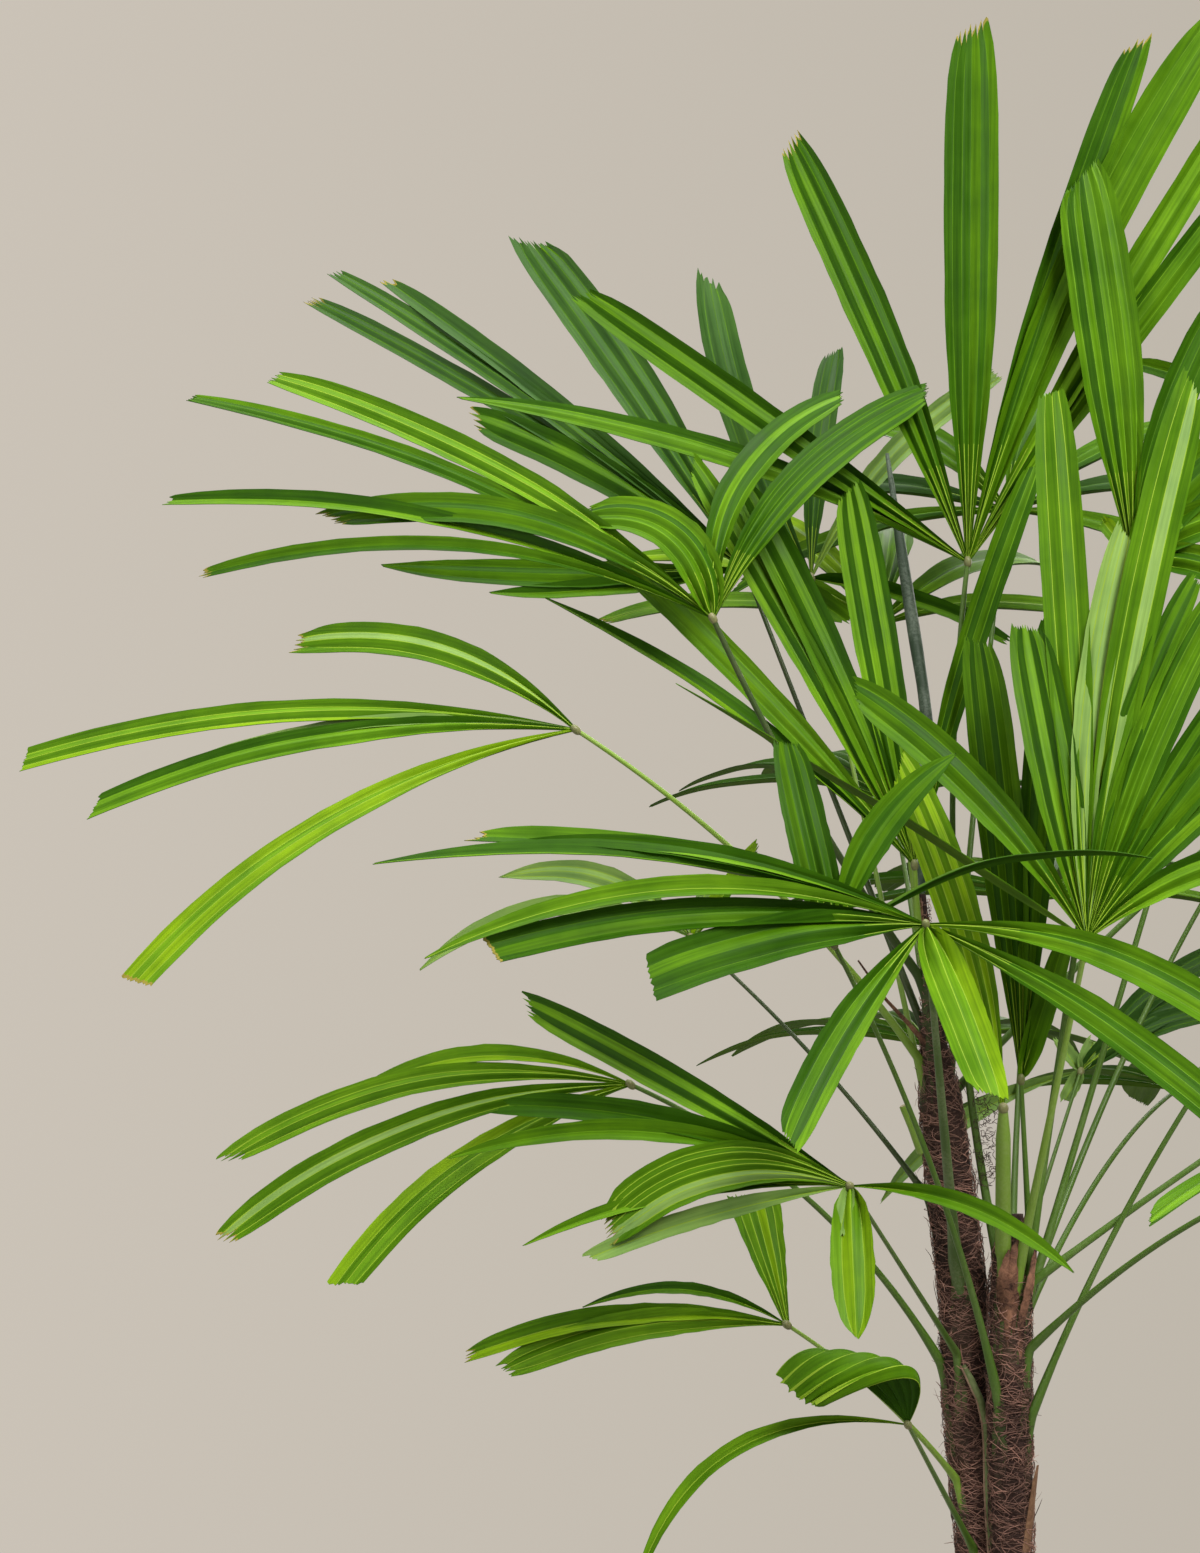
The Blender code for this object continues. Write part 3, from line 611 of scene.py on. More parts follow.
# The folded lobe of the lowest frond stands for two of its leaflets. Its crest and tips, from back to front,
# are across, up and toward the viewer in mm.
LOBED = {("frond_lowest", 0), ("frond_lowest", 2)}
LOBE_LOOK, LOBE_ROWS = "f5", 34
# Depth of the lobe's pleats in column gaps, half width of its ribs in column gaps, and how ragged its end is.
LOBE_PLEATS, LOBE_RIBS, LOBE_RAGGED = 1.5, 0.2, 0.06
LOBE_CRESTS = ((-100, 421, 140), (-86, 422, 152), (-70, 420, 166), (-56, 417, 176), (-45, 410, 182))
LOBE_TIPS = ((-130, 411, 146), (-127, 404, 158), (-121, 398, 172), (-113, 392, 182), (-104, 389, 186))

# The fronds of each joined piece of leaflets, without the frond_ of their names.
LEAF_GROUPS = {
    "leaflets_front": "front middle lowest low",
    "leaflets_centre": "right_front young upright inner_left newest",
    "leaflets_left": "far_left left lower_left back_left dark_left pale_back",
    "leaflets_top": "top upper_right right_top right_high",
    "leaflets_right": "right_low right_far back_right front_right",
    "leaflets_rear": "rear_low rear_low_right rear_left rear_middle rear_right rear_high rear_top",
}

# Shares of the length and of the width there, for each kind of tip. A split tip is as wide as a blunt one.
TIP_WIDTHS = {
    "b": (
        (0, 0.08), (0.06, 0.17), (0.15, 0.38), (0.28, 0.68), (0.42, 0.9), (0.6, 1.0), (0.8, 0.97),
        (0.9, 0.88), (0.96, 0.74), (1, 0.56),
    ),
    "c": (
        (0, 0.08), (0.06, 0.17), (0.15, 0.38), (0.28, 0.68), (0.42, 0.88), (0.6, 0.98), (0.9, 1.0), (1, 0.92),
    ),
    "p": (
        (0, 0.08), (0.06, 0.18), (0.15, 0.42), (0.3, 0.78), (0.45, 1.0), (0.62, 0.96), (0.8, 0.74),
        (0.9, 0.48), (0.97, 0.2), (1, 0.08),
    ),
    "o": (
        (0, 0.1), (0.05, 0.4), (0.12, 0.7), (0.25, 0.88), (0.5, 1.0), (0.7, 0.93), (0.85, 0.7), (0.94, 0.42),
        (1, 0.1),
    ),
    "w": ((0, 0.1), (0.1, 0.2), (0.5, 0.66), (0.8, 0.93), (1, 1.0)),
}
TIP_WIDTHS["s"] = TIP_WIDTHS["b"]
# How deep each kind of tip is cut, as a share of the tooth length.
TIP_TEETH = {"b": 0.7, "s": 1.0, "c": 0.3, "p": 0.35, "o": 0.15, "w": 0.6}
TIP_SLANTS = (0.06, 0.36)
# How much further every other column is cut in, and the share of the slant that a pointed or oval tip has.
TOOTH_STAGGER, ROUND_TIP_SLANT = 0.55, 0.3
# Largest half width of a rib, as a share of the half width that each pleat has.
RIB_LIMIT = 0.2
# Chance that a split or square tip is dry, and share of facets that are pale in a leaflet with pale streaks,
# which are painted sheen.
DRY_TIP_CHANCE, PAINTED_SHEEN_FACETS = 0.4, 0.36
# How high the blade's waves are and how far its edge wanders, in m, and the spread of its twist in degrees.
WAVE_HEIGHT, EDGE_JITTER, TWIST_SPREAD = 0.0007, 0.00035, 7
# Leaflets under this length in m are broader near the hub: the share along them is raised to this power.
SHORT_LEAFLET = 0.14
SHORT_FILLING = 0.55
# Share of a leaflet's length and the slope of the pleats' sides there, in degrees.
PLEAT_SLOPES = ((0, 60), (0.12, 54), (0.3, 38), (0.5, 27), (0.85, 21), (1, 12))
# Rise of the leaflet's edges over its middle, bulge of a facet between its folds, and where the tip begins.
STRAP_FOLD = 0.05
FACET_BULGE = 0.12
TIP_ZONE = 0.86
STRAP_ROWS = np.concatenate([
    np.linspace(0, TIP_ZONE, 21)[:-1], np.linspace(TIP_ZONE, 0.985, 5), (0.993, 1.0),
])

BARK_RINGS, BARK_SIDES = 430, 80
# Radius of a cane that has the full relief, and how far apart the rims of old sheaths are, in m.
USUAL_RADIUS, RIM_SPACING = 0.0135, 0.031
# How deep the bark's rims, weave and lumps are, and how far it starts inside the solid, in m.
RIM_DEPTH, WEAVE_DEPTH, LUMP_DEPTH, BARK_SINK = 0.0011, 0.0004, 0.0015, 0.0012
# The strands: steps of each, places tried, least distance from a cane's ends, and share that are strays.
STRAND_STEPS, STRAND_TRIES, STRAND_MARGIN, STRAY_SHARE = 4, 30000, 0.004, 0.05
# Shortest and longest strand, and how far the ends of strays stand off, in m.
STRAND_LENGTHS, STRAY_REACHES = (0.007, 0.024), (0.002, 0.007)
# Radius of the thickest part of the canes, which gets strands at every place that is tried.
WIDEST_CANE = 0.019
# The net of threads between the canes: its lowest and highest corners, number of threads, and steps of each.
TANGLE_BOX = ((-0.008, -0.011, 0.528), (0.008, -0.005, 0.586))
TANGLE_THREADS, TANGLE_STEPS = 90, 9
# Rows of a sheath, and how far a leaf stem runs on inside it below its foot, in m.
SHEATH_ROWS = 16
STEM_TAIL = 0.028
# Points to either side over which the spear's line is smoothed.
SPEAR_SMOOTHING = 6
# The pale strap that runs down between the canes: across, up and toward the viewer in mm. A thin pinkish one
# runs beside it, that far off in m. Both have these radii in m, times the share of girth along them.
PALE_STRAP = (
    (-13.6, 416, 15), (-9, 407, 17), (-3, 394, 18), (0.2, 380, 17), (1.2, 366, 16), (1.6, 340, 15),
    (2.6, 320, 15), (4, 300, 15), (5, 270, 15), (6, 230, 14), (6, 190, 11),
)
BESIDE_STRAP, STRAP_RADII = (-0.0021, -0.0006, 0.0), ((0.0024,), (0.0009,))
STRAP_GIRTH = ((0, 0.6), (0.1, 1.0), (1, 1.15))
# Torn strips of sheath: cane, bearing, lowest and highest point in m, half angle, and share of the stand-off.
TORN_STRIPS = (
    ("cane_short", -116, 0.444, 0.492, 0.26, 1), ("cane_short", -100, 0.430, 0.507, 0.27, 1),
    ("cane_short", -84, 0.436, 0.524, 0.26, 1), ("cane_short", -64, 0.424, 0.494, 0.25, 1),
    ("cane_tall", -115, 0.655, 0.706, 0.55, 0.14), ("cane_tall", -50, 0.648, 0.694, 0.5, 0.1),
    ("cane_tall", 175, 0.652, 0.700, 0.5, 0.12),
)
# Share of a strip's length, with the share of its half angle and its stand-off in m there.
TORN_WIDTHS = ((0, 0.4), (0.3, 1.0), (0.6, 0.75), (0.85, 0.5), (1, 0.12))
TORN_STAND_OFF = ((0, 0.0004), (0.35, 0.0022), (0.65, 0.0085), (1, 0.0118))
# The dry strand left of the taller cane: across, up and toward the viewer in mm, and radius in m along it.
DRY_STRAND = ((-79, 667, 8), (-62, 643, 7), (-47, 627, 5), (-36, 614, 3), (-31, 594, 1), (-28, 574, 0))
DRY_STRAND_RADII = ((0, 0.0006), (0.5, 0.0017), (0.8, 0.0036), (1, 0.0044))
# The split sheath on the shorter cane: height of its foot and its length in m, bearing of its foot in
# degrees, turn along it in radians, and its half angle along it.
SPLIT_FOOT, SPLIT_LENGTH, SPLIT_BEARING, SPLIT_TURN = 0.270, 0.088, -80, 1.05
SPLIT_WIDTHS = ((0, 0.06), (0.15, 0.2), (0.6, 0.24), (0.9, 0.2), (1, 0.06))
# The sheath below a stem's foot: stand-off in m, and half width as a share of the stem's radius, along it.
SHEATH_STAND_OFF = ((0, 0.0016), (0.3, 0.0009), (1, -0.0001))
SHEATH_WIDTHS = ((0, 1.1), (0.15, 1.5), (0.5, 2.3), (1, 1.0))
# Stems that keep at least this share of their solid's radius. Others end at the slim shares, by their radius.
FULL_STEMS = {"frond_young": 1.08}
THICK_STEM = 0.0036
SLIM_STEM, SLIM_THICK_STEM = 0.5, 0.42
FULL_STEM_SHARES = ((0, 1.1), (0.8, 1), (1, 0.6))
# Share of its solid's radius that a stem's foot has, by the radius of the cane there in m.
FOOT_SHARES = ((0.005, 0.92), (0.012, 1.15))
# Shares of a stem at which its rings stand, closer near the knuckle, and rings inside its sheath.
STEM_SHARES = np.concatenate([np.linspace(0, 0.94, 30), np.linspace(0.955, 1, 8)])
STEM_SINKS = np.linspace(1, 0, 9)[:-1]
# Half the length of a knuckle as it is drawn, in m.
KNUCKLE_REACH = 0.0036
# Finish of a leaf stem, by its slot in stem_materials, where it isn't the rule's.
STEM_TINTS = {
    "frond_front": 1, "frond_young": 3, "frond_left": 2, "frond_top": 0, "frond_upper_right": 0,
    "frond_right_front": 3, "frond_back_left": 2, "frond_dark_left": 2,
}

FLOOR_RADIUS = 1.45
# The backdrop's colours at the picture's left and right, and its light as a share of what the camera sees.
BACKDROP_LEFT, BACKDROP_RIGHT = (0.605, 0.552, 0.482), (0.525, 0.480, 0.412)
AMBIENT_LEVEL = 0.5
# Name, place, size in m, power in W and tint of each lamp.
LAMPS = (
    ("key", (1.3, -2.0, 2.9), 1.5, 185.0, (1.0, 0.98, 0.93)),
    ("fill", (-2.4, -2.2, 1.3), 2.0, 42.0, (0.97, 0.99, 0.96)),
    ("top", (-0.2, 0.2, 3.0), 2.2, 80.0, (1.0, 1.0, 0.95)),
    ("back", (0.9, 2.4, 2.0), 2.4, 60.0, (1.0, 0.99, 0.94)),
)
LAMP_AIM = Vector((0, 0, 0.75))
# Width of the camera's sensor in mm, rows of the photo, and size of a pixel in m at the canes.
SENSOR, PHOTO_HEIGHT, PIXEL_SIZE = 36.0, 1553, 0.62 * MM


def length_property(name, description, default, low, high, precision=4):
    return bpy.props.FloatProperty(
        name=name, description=description, default=default, min=low, max=high, unit="LENGTH",
        precision=precision,
    )


class PalmSizes(bpy.types.PropertyGroup):
    """Sizes of the palm that a user would change."""

    leaf_thickness: length_property("Leaf thickness", "Thickness of a leaflet", 0.0005, 0.0002, 0.002)
    rib_width: length_property(
        "Rib width", "Width of the lighter rib along each fold", 0.00048, 0.0002, 0.002
    )
    pleat_depth: bpy.props.FloatProperty(
        name="Pleat depth", description="How deep the pleats of a leaflet are", default=1.0, min=0.0, max=1.5,
        subtype="FACTOR",
    )
    tooth_length: length_property(
        "Tooth length", "How far a tip is cut in between its teeth", 0.007, 0.0, 0.02
    )
    knuckle_radius: length_property("Knuckle radius", "Radius of the knuckle of a fan", 0.0025, 0.0015, 0.006)
    fibre_radius: length_property("Fibre radius", "Radius of a strand on the canes", 0.0002, 0.0001, 0.001, 5)
    fibre_spacing: length_property(
        "Fibre spacing", "Square root of the area of cane that each strand gets", 0.0026, 0.002, 0.02
    )


def colour_property(name, colour, description):
    return bpy.props.FloatVectorProperty(
        name=name, description=description, default=colour, size=3, min=0.0, max=1.0, subtype="COLOR",
    )


class PalmColours(bpy.types.PropertyGroup):
    """Base colours of the palm that a user would change."""

    bluish: colour_property("Bluish green", (0.024, 0.072, 0.010), "Older leaflets in the depth of the crown")
    dark: colour_property("Dark green", (0.0195, 0.068, 0.0010), "Older leaflets")
    mid: colour_property("Mid green", (0.044, 0.119, 0.0018), "Grown leaflets")
    fresh: colour_property("Fresh green", (0.072, 0.172, 0.0050), "Young leaflets")
    lime: colour_property("Lime green", (0.120, 0.232, 0.0040), "Newest leaflets")
    # The pale green is set light enough to be partly painted sheen; it also paints the sheen streaks of
    # leaflets marked h.
    pale: colour_property("Pale green", (0.130, 0.230, 0.056), "Thin pale leaflets")
    rib: colour_property("Rib", (0.170, 0.270, 0.020), "Ribs along the folds")
    under: colour_property("Underside", (0.046, 0.100, 0.008), "Undersides of leaflets")
    tip: colour_property("Dry tip", (0.190, 0.170, 0.035), "Dry ends of leaflets")
    fibre: colour_property("Fibre", (0.125, 0.067, 0.052), "Strands of the canes' coat")
    bark: colour_property("Bark", (0.022, 0.011, 0.009), "The canes under their strands")


# Shapes worked out on grids.


def hashed(cells):
    """A repeatable number from 0 to 1 for each whole-number cell: the broken part of a large sine."""
    return np.abs(np.sin(cells @ np.array((127.1, 311.7, 74.7))) * 43758.5453) % 1.0


def noise(points):
    """Smooth noise from 0 to 1: numbers at the corners of unit cells, blended by 3t^2 - 2t^3 per axis."""
    cell = np.floor(points)
    part = points - cell
    part = part * part * (3 - 2 * part)
    total = 0
    for corner in np.ndindex(2, 2, 2):
        corner = np.array(corner)
        total = total + np.where(corner, part, 1 - part).prod(-1) * hashed(cell + corner)
    return total


def stood(name, data, place=(0, 0, 0), turn=(0, 0, 0)):
    """A new object of the scene, with its origin at place and turned by these Euler angles."""
    made = bpy.data.objects.new(name, data)
    made.location, made.rotation_euler = place, turn
    bpy.context.scene.collection.objects.link(made)
    return made


class Grids:
    """Grids gathered into one mesh: points, quads with material slots, and a map position for each point."""

    def __init__(self):
        self.points, self.quads, self.slots, self.places, self.count = [], [], [], [], 0

    def add(self, points, quads, slots, places):
        self.points.append(points.reshape(-1, 3))
        self.quads.append(quads + self.count)
        self.slots.append(np.broadcast_to(slots, len(quads)))
        self.places.append(places.reshape(-1, 2))
        self.count += len(self.points[-1])

    def piece(self, name, materials, slot, nodes, sharp=50.0):
        """The gathered mesh as a finished piece that rides on the plant and stands for these nodes."""
        if not self.count:
            raise RuntimeError(f"{name} came out empty")
        points, quads = np.concatenate(self.points), np.concatenate(self.quads)
        mesh = bpy.data.meshes.new(name)
        mesh.vertices.add(len(points))
        mesh.vertices.foreach_set("co", points.astype(np.float32).ravel())
        mesh.loops.add(quads.size)
        mesh.loops.foreach_set("vertex_index", quads.astype(np.int32).ravel())
        mesh.polygons.add(len(quads))
        mesh.polygons.foreach_set("loop_start", np.arange(0, quads.size, 4, dtype=np.int32))
        mesh.polygons.foreach_set("material_index", np.concatenate(self.slots).astype(np.int32))
        mesh.uv_layers.new(name="blade").data.foreach_set(
            "uv", np.concatenate(self.places)[quads.ravel()].astype(np.float32).ravel()
        )
        mesh.update(calc_edges=True)
        mesh.set_sharp_from_angle(angle=math.radians(sharp))
        for material in materials:
            mesh.materials.append(material)
        if mesh.validate():
            raise ValueError(f"{name} has faces that can't be drawn")
        piece = stood(name, mesh)
        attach(piece, BODY)
        if nodes:
            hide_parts(*nodes)


def tube_quads(rows, columns):
    """Quads of a grid whose last column joins the first, with both ends closed."""
    index = np.arange(rows * columns).reshape(rows, columns)
    return np.concatenate([
        grid_quads(rows, columns, around=True), cap_quads(index[0]), cap_quads(index[-1])[:, ::-1],
    ])


def grid_quads(rows, columns, around=False):
    """Quads between neighbouring rows and columns. With around, the last column joins the first."""
    index = np.arange(rows * columns).reshape(rows, columns)
    after = np.roll(index, -1, axis=1)
    if not around:
        index, after = index[:, :-1], after[:, :-1]
    return np.stack([index[:-1], after[:-1], after[1:], index[1:]], axis=-1).reshape(-1, 4)


def cap_quads(ring):
    """A ring with an even number of points closed by strips across it, facing back along the tube."""
    half = len(ring) // 2
    low, high = ring[: half], ring[::-1][: half]
    return np.stack([low[:-1], high[:-1], high[1:], low[1:]], axis=-1)


def blade_quads(rows, columns):
    """Quads of a thin blade: its upper grid, its lower grid turned over, and the strip round its edge."""
    upper = grid_quads(rows, columns)
    size = rows * columns
    index = np.arange(size).reshape(rows, columns)
    loop = np.concatenate([index[0, :-1], index[:-1, -1], index[-1, :0:-1], index[:0:-1, 0]])
    after = np.roll(loop, -1)
    return upper, upper[:, ::-1] + size, np.stack([loop + size, after + size, after, loop], axis=-1)


def add_blade(grids, upper, lower, slots, under_slot, edge_slot, places):
    """A closed blade between two grids of points. slots and under_slot are a number, or one for each quad."""
    top, bottom, edge = blade_quads(*upper.shape[:2])
    quads = np.concatenate([top, bottom, edge])
    all_slots = np.concatenate([
        np.broadcast_to(slots, len(top)), np.broadcast_to(under_slot, len(bottom)),
        np.full(len(edge), edge_slot),
    ])
    grids.add(np.stack([upper, lower]), quads, all_slots, np.stack([places, places]))


def add_tubes(grids, paths, radii, sides, slots):
    """Tubes along paths: each ring is a circle square to the path, and both ends are closed.

    paths is tubes x steps x 3 and radii tubes x steps. The map runs round the tube and along it, in metres.
    """
    tubes, steps = radii.shape
    along = unit(np.gradient(paths, axis=1))
    mean = along.mean(axis=1, keepdims=True)
    reference = np.eye(3)[np.abs(mean).argmin(axis=-1)]
    across = unit(reference - along * (reference * along).sum(-1, keepdims=True))
    other = np.cross(along, across)
    angle = np.arange(sides) * math.tau / sides
    ring = across[:, :, None] * np.cos(angle)[:, None] + other[:, :, None] * np.sin(angle)[:, None]
    points = paths[:, :, None] + ring * radii[:, :, None, None]
    run = np.zeros((tubes, steps))
    run[:, 1:] = np.linalg.norm(np.diff(paths, axis=1), axis=-1).cumsum(axis=1)
    around = np.minimum(angle, math.tau - angle) * radii[:, :, None]
    places = np.stack(np.broadcast_arrays(around, run[:, :, None]), axis=-1)
    one = tube_quads(steps, sides)
    quads = (one + (np.arange(tubes) * steps * sides)[:, None, None]).reshape(-1, 4)
    grids.add(points, quads, np.repeat(np.broadcast_to(slots, tubes), len(one)), places)


# Leaflets.


@lru_cache
def strap_columns(pleats):
    """Columns across a strap with this many pleats, and the intervals between them.

    A column has its place from -1 to 1, the side of the rib that it stays on, and the height of the zigzag.
    An interval has the number of its facet, or -1 for a rib.
    """
    facets = 2 * pleats
    columns, intervals = [(-1.0, 0, 1.0)], []
    for facet in range(facets):
        start, rise = (1.0, -2.0) if facet % 2 == 0 else (-1.0, 2.0)
        for share in (1 / 3, 2 / 3):
            columns.append((-1 + 2 * (facet + share) / facets, 0, start + rise * share + FACET_BULGE))
        end = -1 + 2 * (facet + 1) / facets
        intervals += [facet] * 3
        if facet < facets - 1:
            columns += [(end, -1, start + rise), (end, 1, start + rise)]
            intervals.append(-1)
        else:
            columns.append((end, 0, start + rise))
    return tuple(np.array(values, float) for values in zip(*columns)), np.array(intervals)


def table(rows, at):
    """The value at each place, on straight lines between rows of place and value."""
    places, values = zip(*rows)
    return np.interp(at, places, values)


def seen_line(rows, share):
    """Points at these shares of the line through rows of across, up and toward the viewer, in mm."""
    points = np.array([seen(*row) for row in rows])
    knots = np.linspace(0, 1, len(rows))
    return np.stack([np.interp(share, knots, column) for column in points.T], axis=-1)


def facet_greens(letter, facets, rng):
    """A material slot for each facet of a leaflet.

    It is the leaflet's own green, on every other facet often the next darker one, and on some the next
    lighter: painted shade and light for the two sides of each pleat. A leaflet marked h has some facets pale
    at random instead, as painted sheen.
    """
    slots = np.full(facets, GREEN_SLOTS[letter])
    # Pale facets of a leaflet marked h are painted sheen.
    if letter == "h":
        slots[rng.random(facets) < PAINTED_SHEEN_FACETS] = GREEN_SLOTS["p"]
    elif letter in GREEN_LADDER:
        step = GREEN_LADDER.index(letter)
        odd = (np.arange(facets) + rng.integers(2)) % 2
        # Darker odd facets and lighter even ones are painted shade and light of the pleats' two sides.
        offsets = np.where(
            odd, rng.choice((-1, -1, 0), facets), rng.choice((0, 1, int(letter == "k")), facets)
        )
        ladder = np.clip(step + offsets, max(step - 1, 0), min(step + 1, len(GREEN_LADDER) - 1))
        slots = np.array([GREEN_SLOTS[GREEN_LADDER[k]] for k in ladder])
    return slots


def interval_slots(letter, intervals, rows, rng):
    """Slots of rows of quads: a green for each facet, and on the ribs the colour that suits the leaflet."""
    greens = facet_greens(letter, intervals.max() + 1, rng)
    return np.tile(np.where(intervals < 0, RIB_SLOTS[letter], greens[np.maximum(intervals, 0)]), (rows, 1))


def add_strap(grids, leaf, look, slant, sizes, rng):
    """One pleated leaflet as a closed blade.

    Across it, the height is a zigzag whose sides have the slopes of PLEAT_SLOPES, on a shallow V. Each fold
    is cut off by a narrow rib. The last rows end at a different share of the length in each column, which
    cuts the teeth on a slant, and the longest tooth ends at the leaflet's tip.
    """
    letter, pleats, tip = look[0], int(look[1]), look[2]
    length = (leaf.tip - leaf.hub).length
    (place, rib_side, zigzag), intervals = strap_columns(pleats)
    rows = STRAP_ROWS[:, None]
    teeth = rng.uniform(0.0, 0.5, len(place))
    teeth[1::2] += TOOTH_STAGGER
    teeth *= TIP_TEETH[tip]
    if tip == "s":
        teeth += np.where(rib_side != 0, rng.uniform(0.1, 0.9, len(place)), 0)
    slant *= ROUND_TIP_SLANT if tip in "po" else 1.0
    cut = teeth * sizes.tooth_length + place * slant * leaf.width
    ends = 1 - (cut - cut.min()) / length
    late = np.clip((rows - TIP_ZONE) / (1 - TIP_ZONE), 0, 1)
    share = np.where(rows < TIP_ZONE, rows, TIP_ZONE + late * (ends - TIP_ZONE))
    filling = SHORT_FILLING if length < SHORT_LEAFLET and tip in "bsc" else 1.0
    half = table(TIP_WIDTHS[tip], rows**filling) * leaf.width / 2
    rib = np.minimum(sizes.rib_width / 2, half * RIB_LIMIT / pleats)
    across = place * half + rib_side * rib
    slope = np.tan(np.radians(table(PLEAT_SLOPES, rows))) * sizes.pleat_depth
    height = zigzag * slope * half / (2 * pleats) + np.abs(place) * half * 2 * STRAP_FOLD
    phase, waves = rng.uniform(0, math.tau), rng.uniform(1.0, 2.2)
    height = height + WAVE_HEIGHT * np.sin(phase + rows * waves * math.tau) * np.sin(np.pi * rows)
    jitter = rng.uniform(-EDGE_JITTER, EDGE_JITTER, across.shape) * np.sin(np.pi * rows)
    across = across + np.where(np.abs(place) > 0.999, jitter, 0)
    upper, normal = leaf.points(share, across, height, math.radians(rng.normal(0, TWIST_SPREAD)))
    lower = upper - normal * sizes.leaf_thickness
    slots = interval_slots(letter, intervals, len(rows) - 1, rng)
    slots[:, intervals < 0] = np.where(rows[:-1] < PALE_HUB_SHARE, SLOT_RIB, slots[:, intervals < 0])
    if rng.random() < DRY_TIP_CHANCE and tip in "sc":
        slots[-1] = SLOT_TIP
    places = np.stack([across + 0 * share, share * length], axis=-1)
    add_blade(grids, upper, lower, slots.ravel(), SLOT_UNDER, GREEN_SLOTS[letter], places)


def add_lobe(grids, hub, crests, tips, look, sizes):
    """The broad lobe of the lowest frond, which folds over toward the left.

    Each column is a bezier from the hub to a tip, with the control set so that the middle of the curve is the
    crest. The pleats stand off it along the surface's normal.
    """
    pleats = int(look[1])
    (place, rib_side, zigzag), intervals = strap_columns(pleats)
    t = np.linspace(0, 1, LOBE_ROWS)[:, None, None]
    hub = np.array(seen(*hub))
    crest, tip = (seen_line(rows, (place + 1) / 2) for rows in (crests, tips))
    tip = tip + (crest - tip) * (np.abs(np.sin(np.arange(len(place)) * 2.3)) * LOBE_RAGGED)[:, None]
    control = crest * 2 - (hub + tip) / 2
    base = bezier(hub, control, tip, t)
    side = np.gradient(base, axis=1)
    normal = np.cross(side, np.gradient(base, axis=0))
    normal = normal / (np.linalg.norm(normal, axis=-1, keepdims=True) + 1e-12)
    gap = np.linalg.norm(side, axis=-1).mean(axis=1, keepdims=True)
    upper = base + normal * (zigzag * gap * LOBE_PLEATS)[..., None] + side * (rib_side * LOBE_RIBS)[:, None]
    lower = upper - normal * sizes.leaf_thickness
    slots = interval_slots(look[0], intervals, len(t) - 1, np.random.default_rng(SEED + LOBE_SEED))
    length = np.linalg.norm(tip - hub, axis=-1).mean() * 1.3
    places = np.stack(np.broadcast_arrays(place * 0.02, t[..., 0] * length), axis=-1)
    add_blade(grids, upper, lower, GREEN_SLOTS["k"], slots.ravel(), RIB_SLOTS[look[0]], places)


def look_by_rule(plan, leaf, rng):
    """Green, pleats and tip of a leaflet that has no row in LEAF_LOOKS."""
    pleats = int(np.clip(round(leaf.width / (12 * MM)), 1, 4))
    return f"{rng.choice(list(RULE_GREENS[plan.green]))}{pleats}{rng.choice(list('bbsp'))}"


# Canes, fibre and sheaths.


def cane_top(name):
    return CANES[name][-1][0] * MM


def on_cane(name, heights, bearings, off):
    """Points off a cane's skin: its centre line, plus its radius and off along the bearing."""
    centre, radius = cane_line(name, heights)
    reach = (radius + off)[..., None]
    return centre + reach * np.stack([np.cos(bearings), np.sin(bearings), np.zeros_like(bearings)], axis=-1)


def bark_relief(name, heights, bearings):
    """How far the bark stands off the solid.

    It has the rims of old sheaths, each flaring until the next steps in, a weave of two slanting sets of
    ridges, and lumps of noise.
    """
    size = cane_line(name, heights)[1] / USUAL_RADIUS
    drift = noise(np.stack([bearings, heights * 20, size], -1))
    rim = (heights / RIM_SPACING + bearings / math.tau * 2 + 0.4 * drift) % 1
    arc = bearings * USUAL_RADIUS
    wobble = noise(np.stack([arc * 160, heights * 160, heights * 0 + 5], -1)) * 3
    weave = (
        np.abs(np.sin(arc * 900 + heights * 620 + wobble)) + np.abs(np.sin(arc * 820 - heights * 700 + wobble))
    )
    lumps = noise(np.stack([np.cos(bearings) * 3, np.sin(bearings) * 3, heights * 90], -1)) - 0.5
    depth = rim * RIM_DEPTH + weave * WEAVE_DEPTH + lumps * LUMP_DEPTH - BARK_SINK
    return depth * np.clip(size, 0.15, 1.2)


def add_bark(grids, name):
    """The cane as level rings up its centre line, with relief on its skin."""
    heights, bearings = np.meshgrid(
        np.concatenate([[0.0], np.linspace(0.0015, cane_top(name), BARK_RINGS)]),
        np.arange(BARK_SIDES) * math.tau / BARK_SIDES, indexing="ij",
    )
    relief = bark_relief(name, heights, bearings) * np.clip(heights / 0.01, 0, 1)
    points = on_cane(name, heights, bearings, relief)
    grids.add(points, tube_quads(*heights.shape), 0, np.stack([bearings, heights], axis=-1))


